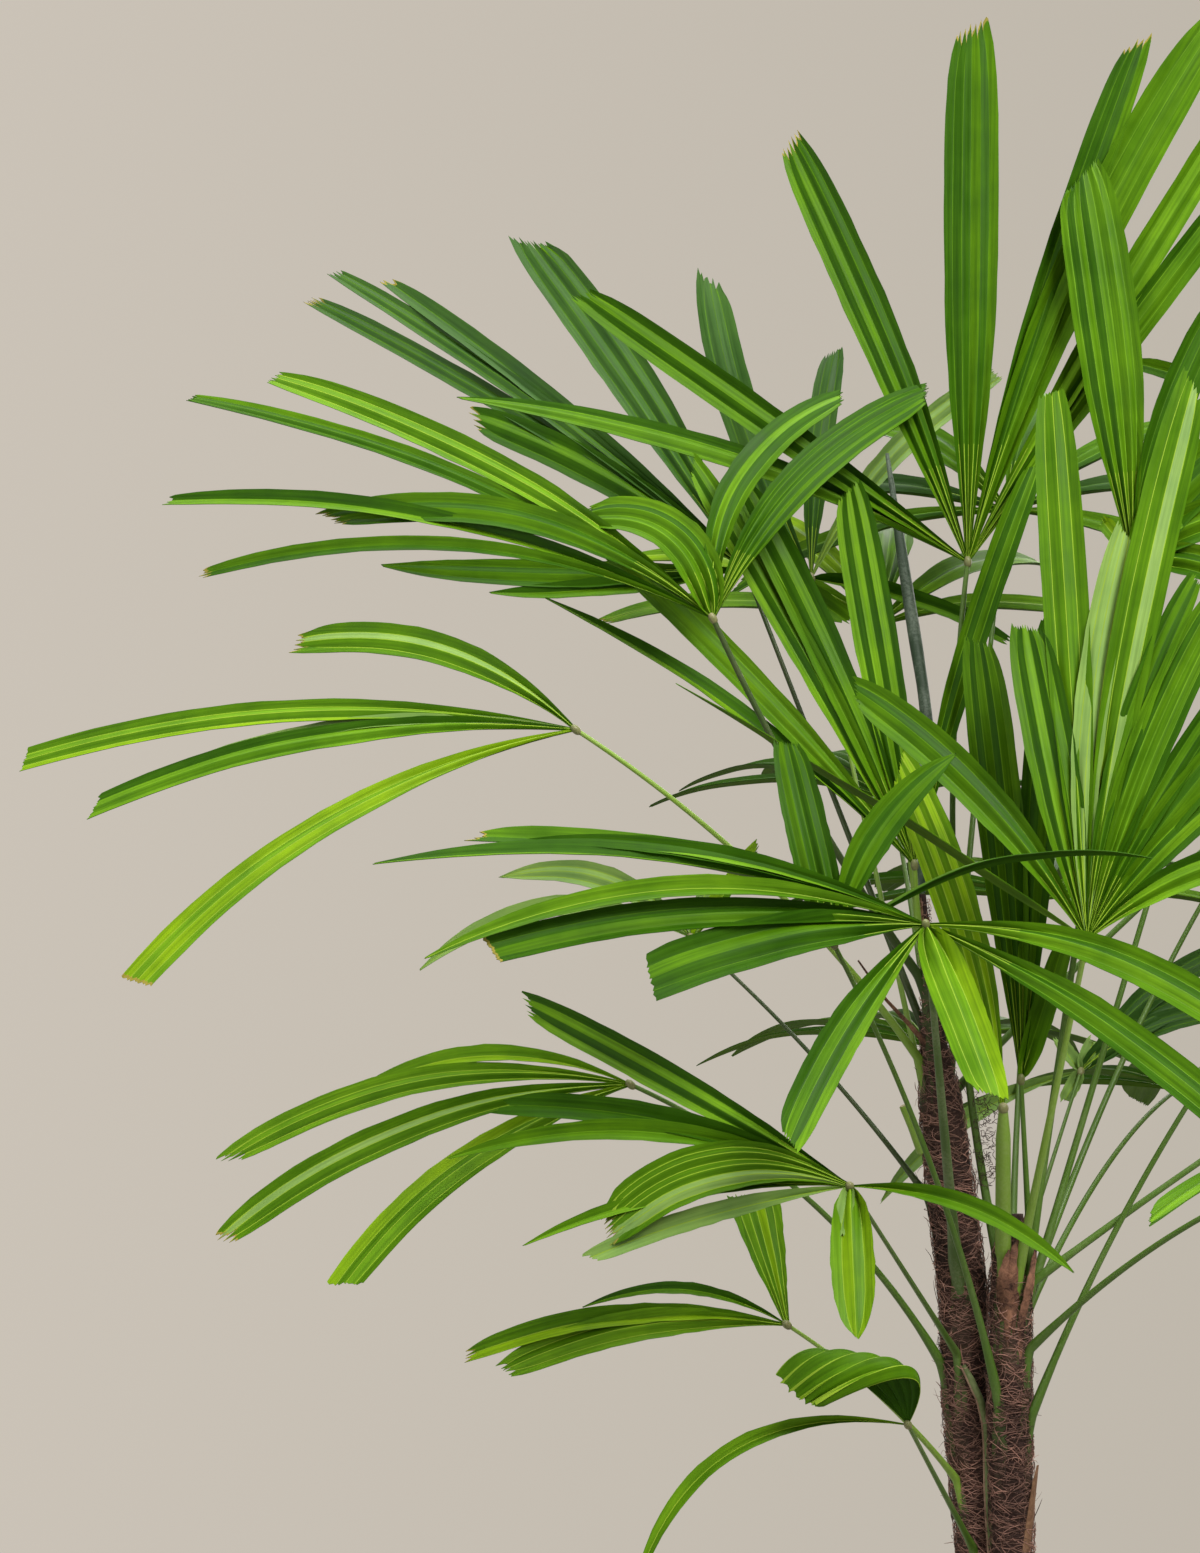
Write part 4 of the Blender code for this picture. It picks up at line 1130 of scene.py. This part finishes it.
def add_fibres(grids, name, low, high, sizes, rng):
    """Strands that start between the shares low and high of a cane's height, and lie across its bark.

    Each walks over the skin from its start in short steps, curling at its own steady rate and bowed off it.
    Some are strays whose ends stand off the cane. Fewer start where the cane is thin.
    """
    top = cane_top(name)
    share = np.linspace(0, 1, STRAND_STEPS + 1)
    tries = rng.uniform(max(STRAND_MARGIN, top * low), min(top - STRAND_MARGIN, top * high), STRAND_TRIES)
    tries = tries[rng.random(len(tries)) < cane_line(name, tries)[1] / WIDEST_CANE]
    area = math.tau * cane_line(name, np.linspace(low, high, 200) * top)[1].mean() * top * (high - low)
    start = tries[: int(area / sizes.fibre_spacing**2)]
    count = len(start)
    thin = np.clip(cane_line(name, start)[1] / 0.013, 0.35, 1)[:, None]
    heading = rng.normal(0.22, 0.42, (count, 1)) + rng.normal(0, 1.5, (count, 1)) * (share - 0.5)
    length = rng.uniform(*STRAND_LENGTHS, (count, 1)) * thin
    climb = np.sin(heading[:, 1:]) * length / STRAND_STEPS
    arc = np.cos(heading[:, 1:]) * length / STRAND_STEPS * rng.choice((-1, 1), (count, 1))
    zero = np.zeros((count, 1))
    heights = np.clip(start[:, None] + np.hstack([zero, climb.cumsum(1)]), 0.0012, top - 0.002)
    radius = cane_line(name, heights)[1]
    bearings = rng.uniform(0, math.tau, (count, 1)) + np.hstack([zero, arc.cumsum(1)]) / (radius + 0.001)
    stray = (rng.random((count, 1)) < STRAY_SHARE) * rng.uniform(*STRAY_REACHES, (count, 1)) * thin
    off = rng.uniform(0.0001, 0.0016, (count, 1)) + 0.0009 * np.sin(np.pi * share) + stray * share**2
    paths = on_cane(name, heights, bearings, off)
    girth = sizes.fibre_radius * rng.uniform(0.6, 1.35, (count, 1))
    girth = girth * np.interp(share, (0, 0.2, 0.8, 1), (0.6, 1, 1, 0.4))
    add_tubes(grids, paths, girth, 4, rng.integers(0, 4, count))


def add_tangle(grids, low, high, count, rng):
    """A loose net of fine dark threads: each wanders from a place in the box between low and high."""
    low, high = np.array(low), np.array(high)
    size = count, TANGLE_STEPS
    start = rng.uniform(low, high, (count, 3))
    turn = rng.uniform(0, math.tau, (count, 1)) + rng.normal(0, 1.0, size).cumsum(1)
    step = np.stack([np.cos(turn), rng.normal(0, 0.25, size), np.sin(turn)], axis=-1) * 0.0013
    paths = np.clip(start[:, None] + step.cumsum(1), low, high)
    paths[:, :, 0] += 0.0004 * np.sin(np.arange(TANGLE_STEPS))
    add_tubes(grids, paths, np.full(size, 0.00019), 4, 0)


def add_cane_sheet(grids, name, heights, bearings, half_angles, off, slots, thickness=0.0007):
    """A thin sheet that wraps part of a cane: rows at these heights, each centred on its bearing.

    slots is a number, or one for each quad of the outer side.
    """
    across = np.linspace(-1, 1, 9)
    high, _ = np.meshgrid(heights, across, indexing="ij")
    bearing = bearings[:, None] + half_angles[:, None] * across
    skin = off[:, None] - 0.0004 * across**2
    upper, lower = (on_cane(name, high, bearing, height) for height in (skin, skin - thickness))
    places = np.stack(np.broadcast_arrays(across, np.linspace(0, 1, len(heights))[:, None]), axis=-1)
    if heights[0] > heights[-1]:
        upper, lower, places = upper[:, ::-1], lower[:, ::-1], places[:, ::-1]
    last = np.ravel(slots)[-1]
    add_blade(grids, upper, lower, slots, last, last, places)


def foot_on_cane(stem, cane):
    """Bearing of a stem's foot round its cane, and how far the stem's middle stands off the skin there."""
    foot = np.array(stem.foot)
    centre, radius = cane_line(cane, foot[2:3])
    away = foot[:2] - centre[0, :2]
    return math.atan2(away[1], away[0]), np.hypot(*away) - radius[0]


def sheath_rows(stem, cane, rng):
    """Heights, bearings, half angles and stand-off of the sheath that runs down from a stem's foot."""
    share = np.linspace(0, 1, SHEATH_ROWS)
    bearing, _ = foot_on_cane(stem, cane)
    length = min(rng.uniform(0.06, 0.12), stem.foot.z - 0.02)
    heights = np.minimum(stem.foot.z - 0.004 - share * length, cane_top(cane) - 0.001)
    skin = cane_line(cane, heights)[1]
    off = table(SHEATH_STAND_OFF, share)
    wide = table(SHEATH_WIDTHS, share) * stem.radius
    wide = wide * (1 + 0.15 * np.sin(share * 40 + bearing))
    return heights, bearing + 0.08 * np.sin(share * 6), np.minimum(wide / (skin + off), 1.5), off


# Materials.


def group_tree(name, outputs, **inputs):
    """An empty shader node group, and its input and output nodes. An input given as a tuple is a colour."""
    tree = bpy.data.node_groups.new(name, "ShaderNodeTree")
    for socket, value in inputs.items():
        kind = "NodeSocketColor" if isinstance(value, tuple) else "NodeSocketFloat"
        tree.interface.new_socket(name=socket, in_out="INPUT", socket_type=kind).default_value = value
    for socket in outputs:
        kind = "NodeSocketColor" if socket == "Colour" else "NodeSocketFloat"
        tree.interface.new_socket(name=socket, in_out="OUTPUT", socket_type=kind)
    return tree, tree.nodes.new("NodeGroupInput"), tree.nodes.new("NodeGroupOutput")


def feed(tree, socket, value):
    """Links an input socket to another node's output, or sets it to a plain value."""
    if isinstance(value, bpy.types.NodeSocket):
        tree.links.new(value, socket)
    else:
        socket.default_value = value


def node(tree, kind, output=0, settings=(), **inputs):
    """A new node's output socket. An input's words are joined by underlines, and input_0 is the first."""
    made = tree.nodes.new(kind)
    for key, value in settings:
        setattr(made, key, value)
    for key, value in inputs.items():
        feed(tree, made.inputs[int(key[6:]) if key.startswith("input_") else key.replace("_", " ")], value)
    return made.outputs[output]


def texture(tree, where, **values):
    return node(tree, "ShaderNodeTexNoise", "Fac", Vector=where, **values)


def ranged(tree, value, low, high, to_low=0.0, to_high=1.0):
    """The value's place between low and high as a number from to_low to to_high."""
    return node(
        tree, "ShaderNodeMapRange", Value=value, From_Min=low, From_Max=high, To_Min=to_low, To_Max=to_high
    )


def maths(tree, operation, first, second):
    return node(tree, "ShaderNodeMath", settings=[("operation", operation)], input_0=first, input_1=second)


def mix_colours(tree, factor, first, second, blend="MIX"):
    """A blend of two colours, each a socket or a plain colour."""
    settings = (("data_type", "RGBA"), ("blend_type", blend))
    first, second = ((*value, 1.0) if isinstance(value, tuple) else value for value in (first, second))
    return node(tree, "ShaderNodeMix", 2, settings, input_0=factor, input_6=first, input_7=second)


@lru_cache
def blade_streaks():
    """Node group for leaf skin: streaks along the blade's map darken a colour, and patches lighten it."""
    tree, inside, outside = group_tree(
        "Blade streaks", ("Colour", "Roughness", "Height"), Colour=(0.1, 0.3, 0.02, 1.0), Streak=0.3
    )
    place = node(tree, "ShaderNodeUVMap", settings=[("uv_map", "blade")])
    streaks = texture(
        tree, node(tree, "ShaderNodeMapping", Vector=place, Scale=(600.0, 9.0, 1.0)), Scale=1.0, Detail=3.0,
        Roughness=0.6,
    )
    patches = texture(
        tree, node(tree, "ShaderNodeTexCoord", "Object"), Scale=32.0, Detail=3.0, Roughness=0.55
    )
    amount = inside.outputs["Streak"]
    veins = maths(tree, "MULTIPLY", amount, ranged(tree, streaks, 0.36, 0.64))
    darker = mix_colours(tree, veins, inside.outputs["Colour"], (0.26, 0.34, 0.22), "MULTIPLY")
    tone = maths(tree, "MULTIPLY", amount, ranged(tree, patches, 0.32, 0.72))
    feed(tree, outside.inputs["Colour"], mix_colours(tree, tone, darker, (2.3, 1.9, 1.4), "MULTIPLY"))
    feed(tree, outside.inputs["Roughness"], ranged(tree, patches, 0.3, 0.7, 0.4, 0.58))
    feed(tree, outside.inputs["Height"], streaks)
    return tree


@lru_cache
def fibre_weave():
    """Node group for the coat of fibre: fine noise on Object coordinates over broad patches of tone."""
    tree, inside, outside = group_tree(
        "Fibre weave", ("Colour", "Height"), Dark=(0.05, 0.02, 0.02, 1.0), Light=(0.2, 0.1, 0.08, 1.0),
        Scale=260.0,
    )
    where = node(tree, "ShaderNodeTexCoord", "Object")
    fine = texture(tree, where, Scale=inside.outputs["Scale"], Detail=4.0, Roughness=0.7, Distortion=1.5)
    broad = texture(tree, where, Scale=45.0, Detail=2.0)
    tone = ranged(tree, maths(tree, "ADD", fine, broad), 0.8, 1.25)
    feed(
        tree, outside.inputs["Colour"],
        mix_colours(tree, tone, inside.outputs["Dark"], inside.outputs["Light"]),
    )
    feed(tree, outside.inputs["Height"], fine)
    return tree


@lru_cache
def bloom_specks():
    """Node group for stems: a second colour in specks and patches over the first, on Object coordinates."""
    tree, inside, outside = group_tree(
        "Bloom and specks", ("Colour", "Height"), Colour=(0.1, 0.3, 0.02, 1.0), Bloom=(0.4, 0.45, 0.4, 1.0),
        Amount=0.5,
    )
    where = node(tree, "ShaderNodeTexCoord", "Object")
    specks = texture(tree, where, Scale=520.0, Detail=3.0, Roughness=0.7)
    patches = texture(tree, where, Scale=38.0, Detail=3.0)
    mask = ranged(tree, maths(tree, "MULTIPLY", specks, patches), 0.2, 0.38)
    amount = maths(tree, "MULTIPLY", mask, inside.outputs["Amount"])
    feed(
        tree, outside.inputs["Colour"],
        mix_colours(tree, amount, inside.outputs["Colour"], inside.outputs["Bloom"]),
    )
    feed(tree, outside.inputs["Height"], specks)
    return tree


def finish(name, tree, values, roughness, bump, distance, gloss=0.3):
    """The Principled material of this name, made once, with its colour and relief from a node group."""
    if name in bpy.data.materials:
        return bpy.data.materials[name]
    material = bpy.data.materials.new(name)
    material.use_nodes = True
    nodes = material.node_tree.nodes
    shader = nodes["Principled BSDF"]
    group = nodes.new("ShaderNodeGroup")
    group.node_tree = tree
    for socket, value in values.items():
        group.inputs[socket].default_value = (*value, 1.0) if isinstance(value, tuple) else value
    relief = node(
        material.node_tree, "ShaderNodeBump", "Normal", Strength=bump, Distance=distance,
        Height=group.outputs["Height"],
    )
    for socket, value in (
        ("Base Color", group.outputs["Colour"]), ("Normal", relief), ("Specular IOR Level", gloss),
        ("Roughness", group.outputs["Roughness"] if roughness is None else roughness),
    ):
        feed(material.node_tree, shader.inputs[socket], value)
    return material


def leaf_materials(colours):
    """The nine finishes of a leaflet in the order of their slots: six greens, rib, underside and dry tip."""
    return [
        finish(
            f"leaf_{name}", blade_streaks(), {"Colour": tuple(colour), "Streak": streak}, roughness, 0.12,
            0.0004, gloss,
        )
        for name, colour, roughness, streak, gloss in (
            ("bluish", colours.bluish, None, 0.5, 0.12), ("dark", colours.dark, None, 0.5, 0.06),
            ("mid", colours.mid, None, 0.5, 0.06), ("fresh", colours.fresh, None, 0.5, 0.06),
            # The pale finish also paints the sheen streaks of leaflets marked h.
            ("lime", colours.lime, None, 0.5, 0.06), ("pale", colours.pale, 0.5, 0.35, 0.12),
            ("rib", colours.rib, 0.5, 0.15, 0.06), ("underside", colours.under, 0.55, 0.35, 0.05),
            ("dry_tip", colours.tip, 0.7, 0.4, 0.05),
        )
    ]


def stem_materials():
    """Stem finishes in the order of their slots: green, grey-green, dark, pale green and knuckle."""
    return [
        finish(name, bloom_specks(), {"Colour": base, "Bloom": bloom, "Amount": amount}, 0.42, 0.3, 0.0004)
        for name, base, bloom, amount in (
            ("petiole_green", (0.052, 0.112, 0.010), (0.105, 0.160, 0.045), 0.45),
            ("petiole_grey_green", (0.050, 0.095, 0.018), (0.150, 0.185, 0.090), 0.55),
            ("petiole_dark", (0.026, 0.052, 0.008), (0.070, 0.075, 0.035), 0.5),
            ("petiole_pale", (0.140, 0.240, 0.026), (0.210, 0.290, 0.085), 0.45),
            ("knuckle_tan", (0.110, 0.125, 0.040), (0.230, 0.190, 0.110), 0.6),
        )
    ]


def weave_material(name, dark, light, scale, roughness=0.85):
    values = {"Dark": tuple(dark), "Light": tuple(light), "Scale": scale}
    return finish(name, fibre_weave(), values, roughness, 0.5, 0.0008)


# Operators.


LAID_OUT = lay_out()


class PALM_OT_bark(bpy.types.Operator):
    """Covers both canes with bark that has the rims of old sheaths and a woven relief"""

    bl_idname = "palm.bark"
    bl_label = "Cane bark"

    def execute(self, context):
        colours = context.scene.palm_colours
        bark = weave_material("cane_bark", colours.bark, tuple(c * 2.4 for c in colours.bark), 300.0)
        for name in CANES:
            grids = Grids()
            add_bark(grids, name)
            grids.piece(f"{name}_bark", [bark], "cane_fibre", [name], sharp=80)
        return {"FINISHED"}


class PALM_OT_fibres(bpy.types.Operator):
    """Lays loose brown strands over both canes"""

    bl_idname = "palm.fibres"
    bl_label = "Cane fibres"

    def execute(self, context):
        colours, sizes = context.scene.palm_colours, context.scene.palm_sizes
        tones = [
            weave_material(f"fibre_{tone}", tuple(c * share * 0.7 for c in colours.fibre),
                           tuple(c * share for c in colours.fibre), 200.0)
            for tone, share in (("dark", 0.4), ("mid", 1.1), ("light", 2.0), ("pale", 3.2))
        ]
        halves = [(name, *half) for name in CANES for half in (("lower", 0, 0.5), ("upper", 0.5, 1))]
        for number, (name, part, low, high) in enumerate(halves):
            rng = np.random.default_rng(SEED + number)
            grids = Grids()
            add_fibres(grids, name, low, high, sizes, rng)
            if (name, part) == ("cane_tall", "upper"):
                add_tangle(grids, *TANGLE_BOX, TANGLE_THREADS, rng)
            grids.piece(f"{name}_fibres_{part}", tones, "cane_fibre", [name])
        return {"FINISHED"}


class PALM_OT_sheaths(bpy.types.Operator):
    """Wraps the foot of each leaf stem in its sheath, and adds the torn and split sheaths"""

    bl_idname = "palm.sheaths"
    bl_label = "Sheaths"

    def execute(self, context):
        rng = np.random.default_rng(SEED + SHEATH_SEED)
        grids = Grids()
        for name, (stem, *_) in LAID_OUT.items():
            sheath = sheath_rows(stem, PLANS[name].cane, rng)
            browning = np.arange(SHEATH_ROWS - 1)[:, None] + rng.normal(0, 1.5, 8) > rng.integers(4, 12)
            add_cane_sheet(grids, PLANS[name].cane, *sheath, browning.astype(int).ravel())
        share = np.linspace(0, 1, 60)
        path = seen_line(PALE_STRAP, share)
        radii = table(STRAP_GIRTH, share) * STRAP_RADII
        add_tubes(grids, np.stack([path, path + BESIDE_STRAP]), radii, 10, np.array((2, 3)))
        materials = [
            weave_material("sheath_green", (0.030, 0.042, 0.012), (0.075, 0.115, 0.030), 160.0, 0.7),
            weave_material("sheath_brown", (0.034, 0.020, 0.014), (0.080, 0.055, 0.036), 190.0, 0.8),
            weave_material("sheath_pale_green", (0.075, 0.100, 0.030), (0.150, 0.190, 0.075), 120.0, 0.6),
            weave_material("sheath_pinkish", (0.150, 0.085, 0.055), (0.300, 0.200, 0.140), 150.0, 0.7),
        ]
        grids.piece("leaf_sheaths", materials, "stem_green", [])
        dry = Grids()
        share = np.linspace(0, 1, 30)
        for cane, bearing, low, high, half, stand_off in TORN_STRIPS:
            torn = rng.uniform(0.7, 1.0, 30)
            add_cane_sheet(
                dry, cane, low + (high - low) * share, math.radians(bearing) + 0.3 * share**2,
                half * table(TORN_WIDTHS, share) * torn, stand_off * table(TORN_STAND_OFF, share),
                0 if cane == "cane_short" else 1,
            )
        path = seen_line(DRY_STRAND, share)
        add_tubes(dry, path[None], table(DRY_STRAND_RADII, share)[None], 10, 0)
        add_cane_sheet(
            dry, "cane_short", SPLIT_FOOT + SPLIT_LENGTH * share,
            math.radians(SPLIT_BEARING) + SPLIT_TURN * share, table(SPLIT_WIDTHS, share),
            0.0016 + 0.0036 * share**3, 1,
        )
        materials = [
            weave_material("sheath_torn", (0.020, 0.008, 0.006), (0.250, 0.120, 0.074), 210.0),
            weave_material("sheath_split", (0.120, 0.060, 0.032), (0.270, 0.155, 0.088), 130.0, 0.7),
        ]
        dry.piece("dry_sheaths", materials, "cane_fibre", [])
        return {"FINISHED"}


class PALM_OT_stems(bpy.types.Operator):
    """Draws the leaf stems with their knuckles"""

    bl_idname = "palm.stems"
    bl_label = "Leaf stems"

    def execute(self, context):
        sizes = context.scene.palm_sizes
        share, sink = STEM_SHARES, STEM_SINKS
        paths, radii, tints = [], [], []
        for name, (stem, *_) in LAID_OUT.items():
            foot, hub, bow = (np.array(v) for v in (stem.foot, stem.hub, stem.bow))
            control = (foot + hub) / 2 + bow * 2
            free = bezier(foot, control, hub, share[:, None])
            cane = PLANS[name].cane
            bearing, away = foot_on_cane(stem, cane)
            low = np.minimum(foot[2] - STEM_TAIL * sink, cane_top(cane))
            off = away + (-stem.radius * 0.9 - away) * sink**0.7
            paths.append(np.concatenate([on_cane(cane, low, bearing + 0 * low, off), free]))
            slim = SLIM_STEM if stem.radius < THICK_STEM else SLIM_THICK_STEM
            wide = table(FOOT_SHARES, cane_line(cane, low[-1:])[1][0])
            narrowing = table(
                ((0, wide), (0.1, 0.84), (0.3, 0.7), (0.65, (0.64 + slim) / 2), (1, slim)), share
            )
            narrowing = np.maximum(narrowing, FULL_STEMS.get(name, 0) * table(FULL_STEM_SHARES, share))
            radii.append(stem.radius * np.concatenate([wide - 0.25 * sink, narrowing]))
            tints.append(STEM_TINTS.get(name, 3 if PLANS[name].green == 3 else 0))
        grids = Grids()
        add_tubes(grids, np.array(paths), np.array(radii), 12, np.array(tints))
        knuckle = np.linspace(-1, 1, 9)
        tips, swell = [], []
        for (stem, *_), radius in zip(LAID_OUT.values(), radii):
            along = np.array((stem.hub - stem.foot).normalized())
            tips.append(np.array(stem.hub) + along * knuckle[:, None] * KNUCKLE_REACH)
            swell.append(max(sizes.knuckle_radius, radius[-1] * 1.2) * np.sqrt(1.02 - knuckle**2 * 0.8))
        add_tubes(grids, np.array(tips), np.array(swell), 12, 4)
        grids.piece("leaf_stems", stem_materials(), "stem_green", list(LAID_OUT), sharp=80)
        return {"FINISHED"}


class PALM_OT_spear(bpy.types.Operator):
    """Draws the closed spear leaf and the stub of the cut stem"""

    bl_idname = "palm.spear"
    bl_label = "Spear and stub"

    def execute(self, context):
        share = np.linspace(0, 1, 60)
        path = seen_line(SPEAR_PATH, share)
        width = 2 * SPEAR_SMOOTHING + 1
        smooth = np.stack([
            np.convolve(np.pad(column, SPEAR_SMOOTHING, "edge"), np.ones(width) / width, "valid")
            for column in path.T
        ], -1)
        ease = np.minimum(1, np.minimum(share, 1 - share) * 8)[:, None]
        path = path * (1 - ease) + smooth * ease
        radii = np.interp(share, np.linspace(0, 1, len(SPEAR_RADII)), SPEAR_RADII) * MM
        radii = radii * (1 + 0.05 * np.sin(share * 40))
        spear = Grids()
        add_tubes(spear, path[None], radii[None], 16, 0)
        values = {"Colour": (0.022, 0.044, 0.022), "Bloom": (0.150, 0.190, 0.145), "Amount": 0.6}
        bloom = finish("spear_bloom", bloom_specks(), values, 0.5, 0.4, 0.0005)
        spear.piece("spear_leaf", [bloom], "stem_green", ["spear"], sharp=80)
        centre, radius = cane_at("cane_tall", CUT_STEM_HEIGHT)
        outward = np.array(toward_bearing(CUT_STEM_BEARING))
        lean = math.radians(CUT_STEM_LEAN)
        along = outward * math.sin(lean) + np.array((0, 0, math.cos(lean)))
        foot = np.array(centre) + outward * (radius + CUT_STEM_RADII[0] * MM)
        steps = np.linspace(-0.05, 1, 14)
        path = foot + along * steps[:, None] * CUT_STEM_LENGTH * MM
        stub = Grids()
        add_tubes(stub, path[None], (np.interp(steps, (0, 0.5, 1), CUT_STEM_RADII) * MM)[None], 12, 0)
        face = foot + along * np.array((0.97, 1.0, 1.012))[:, None] * CUT_STEM_LENGTH * MM
        add_tubes(stub, face[None], np.full((1, 3), CUT_STEM_RADII[-1] * MM * 0.84), 12, 1)
        cut = weave_material("cut_face", (0.230, 0.210, 0.110), (0.360, 0.330, 0.200), 260.0, 0.8)
        stub.piece("cut_stub", [stem_materials()[3], cut], "stem_green", ["cut_leaf_stem"], sharp=50)
        return {"FINISHED"}


class PALM_OT_leaflets(bpy.types.Operator):
    """Draws every pleated leaflet, joined into one piece for each part of the crown"""

    bl_idname = "palm.leaflets"
    bl_label = "Leaflets"

    def execute(self, context):
        colours, sizes = context.scene.palm_colours, context.scene.palm_sizes
        for number, (group, words) in enumerate(LEAF_GROUPS.items()):
            names = [f"frond_{word}" for word in words.split()]
            rng = np.random.default_rng(SEED + LEAFLET_SEED + number)
            grids = Grids()
            for name in names:
                looks = LEAF_LOOKS.get(name, "").split()
                for leaf in LAID_OUT[name][1:]:
                    look = looks[leaf.index] if looks else look_by_rule(PLANS[name], leaf, rng)
                    slant = rng.choice((-1, 1)) * rng.uniform(*TIP_SLANTS)
                    share, slant = LEAF_TRIMS.get(name, {}).get(leaf.index, (1.0, slant))
                    key = name, leaf.index
                    if key not in LOBED:
                        leaf = replace(
                            leaf, width=leaf.width * share, roll=LEAF_ROLLS.get(key, leaf.roll),
                            lift=leaf.lift * LEAF_RISES.get(key, 1.0),
                        )
                        add_strap(grids, leaf, look, slant, sizes, rng)
                    if key in LEAF_TWINS:
                        tip = leaf.tip + Vector(LEAF_TWINS[key])
                        add_strap(grids, replace(leaf, tip=tip), look, slant, sizes, rng)
                if name == "frond_lowest":
                    add_lobe(grids, PLANS[name].hub, LOBE_CRESTS, LOBE_TIPS, LOBE_LOOK, sizes)
            grids.piece(group, leaf_materials(colours), "leaf_green", names)
        return {"FINISHED"}


class PALM_OT_stage(bpy.types.Operator):
    """Sets up the pale floor, the plain backdrop colour, the studio lights and the camera"""

    bl_idname = "palm.stage"
    bl_label = "Stage"

    def execute(self, context):
        scene = context.scene
        rings, sides = 12, 64
        radius, angle = np.meshgrid(
            np.linspace(0.002, FLOOR_RADIUS, rings), np.arange(sides) * math.tau / sides, indexing="ij"
        )
        points = np.stack([radius * np.cos(angle), radius * np.sin(angle), 0 * radius - 0.0005], axis=-1)
        mesh = bpy.data.meshes.new("floor")
        quads = grid_quads(rings, sides, around=True)[:, ::-1]
        mesh.from_pydata(points.reshape(-1, 3).tolist(), [], quads.tolist())
        mesh.materials.append(
            weave_material("floor_pale", (0.300, 0.286, 0.262), (0.318, 0.303, 0.278), 6.0, 0.9)
        )
        stood("floor", mesh)

        world = bpy.data.worlds.new("plain_backdrop")
        scene.world = world
        world.use_nodes = True
        tree = world.node_tree
        heading = node(tree, "ShaderNodeTexCoord", "Generated")
        fade = ranged(tree, node(tree, "ShaderNodeSeparateXYZ", "X", input_0=heading), -0.16, 0.12)
        background = tree.nodes["Background"]
        feed(tree, background.inputs["Color"], mix_colours(tree, fade, BACKDROP_LEFT, BACKDROP_RIGHT))
        camera_ray = node(tree, "ShaderNodeLightPath", "Is Camera Ray")
        feed(tree, background.inputs["Strength"], ranged(tree, camera_ray, 0.0, 1.0, AMBIENT_LEVEL))

        for name, place, size, power, tint in LAMPS:
            light = bpy.data.lights.new(name, "AREA")
            light.energy, light.size, light.color = power, size, tint
            lamp = stood(name, light, place, (LAMP_AIM - Vector(place)).to_track_quat("-Z", "Y").to_euler())
            lamp.visible_camera = False

        camera = stood("camera", bpy.data.cameras.new("camera"), VIEW_POINT, (math.radians(90), 0, 0))
        camera.data.sensor_width = SENSOR
        camera.data.lens = SENSOR * -VIEW_POINT.y / (PHOTO_HEIGHT * PIXEL_SIZE)
        scene.camera = camera
        scene.view_settings.view_transform = "Standard"
        return {"FINISHED"}


OPERATORS = (
    PALM_OT_bark, PALM_OT_fibres, PALM_OT_sheaths, PALM_OT_stems, PALM_OT_spear, PALM_OT_leaflets,
    PALM_OT_stage,
)


class PALM_PT_panel(bpy.types.Panel):
    """Lists the palm's operators and settings in the sidebar"""

    bl_idname = "PALM_PT_panel"
    bl_label = "Lady palm"
    bl_space_type = "VIEW_3D"
    bl_region_type = "UI"
    bl_category = "Lady palm"

    def draw(self, context):
        for operator in OPERATORS:
            self.layout.operator(operator.bl_idname)
        for group in (context.scene.palm_sizes, context.scene.palm_colours):
            for name in type(group).__annotations__:
                self.layout.prop(group, name)


CLASSES = (PalmSizes, PalmColours, *OPERATORS, PALM_PT_panel)


def register():
    for cls in CLASSES:
        bpy.utils.register_class(cls)
    bpy.types.Scene.palm_sizes = bpy.props.PointerProperty(type=PalmSizes)
    bpy.types.Scene.palm_colours = bpy.props.PointerProperty(type=PalmColours)


def unregister():
    del bpy.types.Scene.palm_sizes
    del bpy.types.Scene.palm_colours
    for cls in reversed(CLASSES):
        bpy.utils.unregister_class(cls)


def main():
    register()
    bpy.ops.palm.bark()
    bpy.ops.palm.fibres()
    bpy.ops.palm.sheaths()
    bpy.ops.palm.stems()
    bpy.ops.palm.spear()
    bpy.ops.palm.leaflets()
    bpy.ops.palm.stage()


if __name__ == "__main__":
    main()
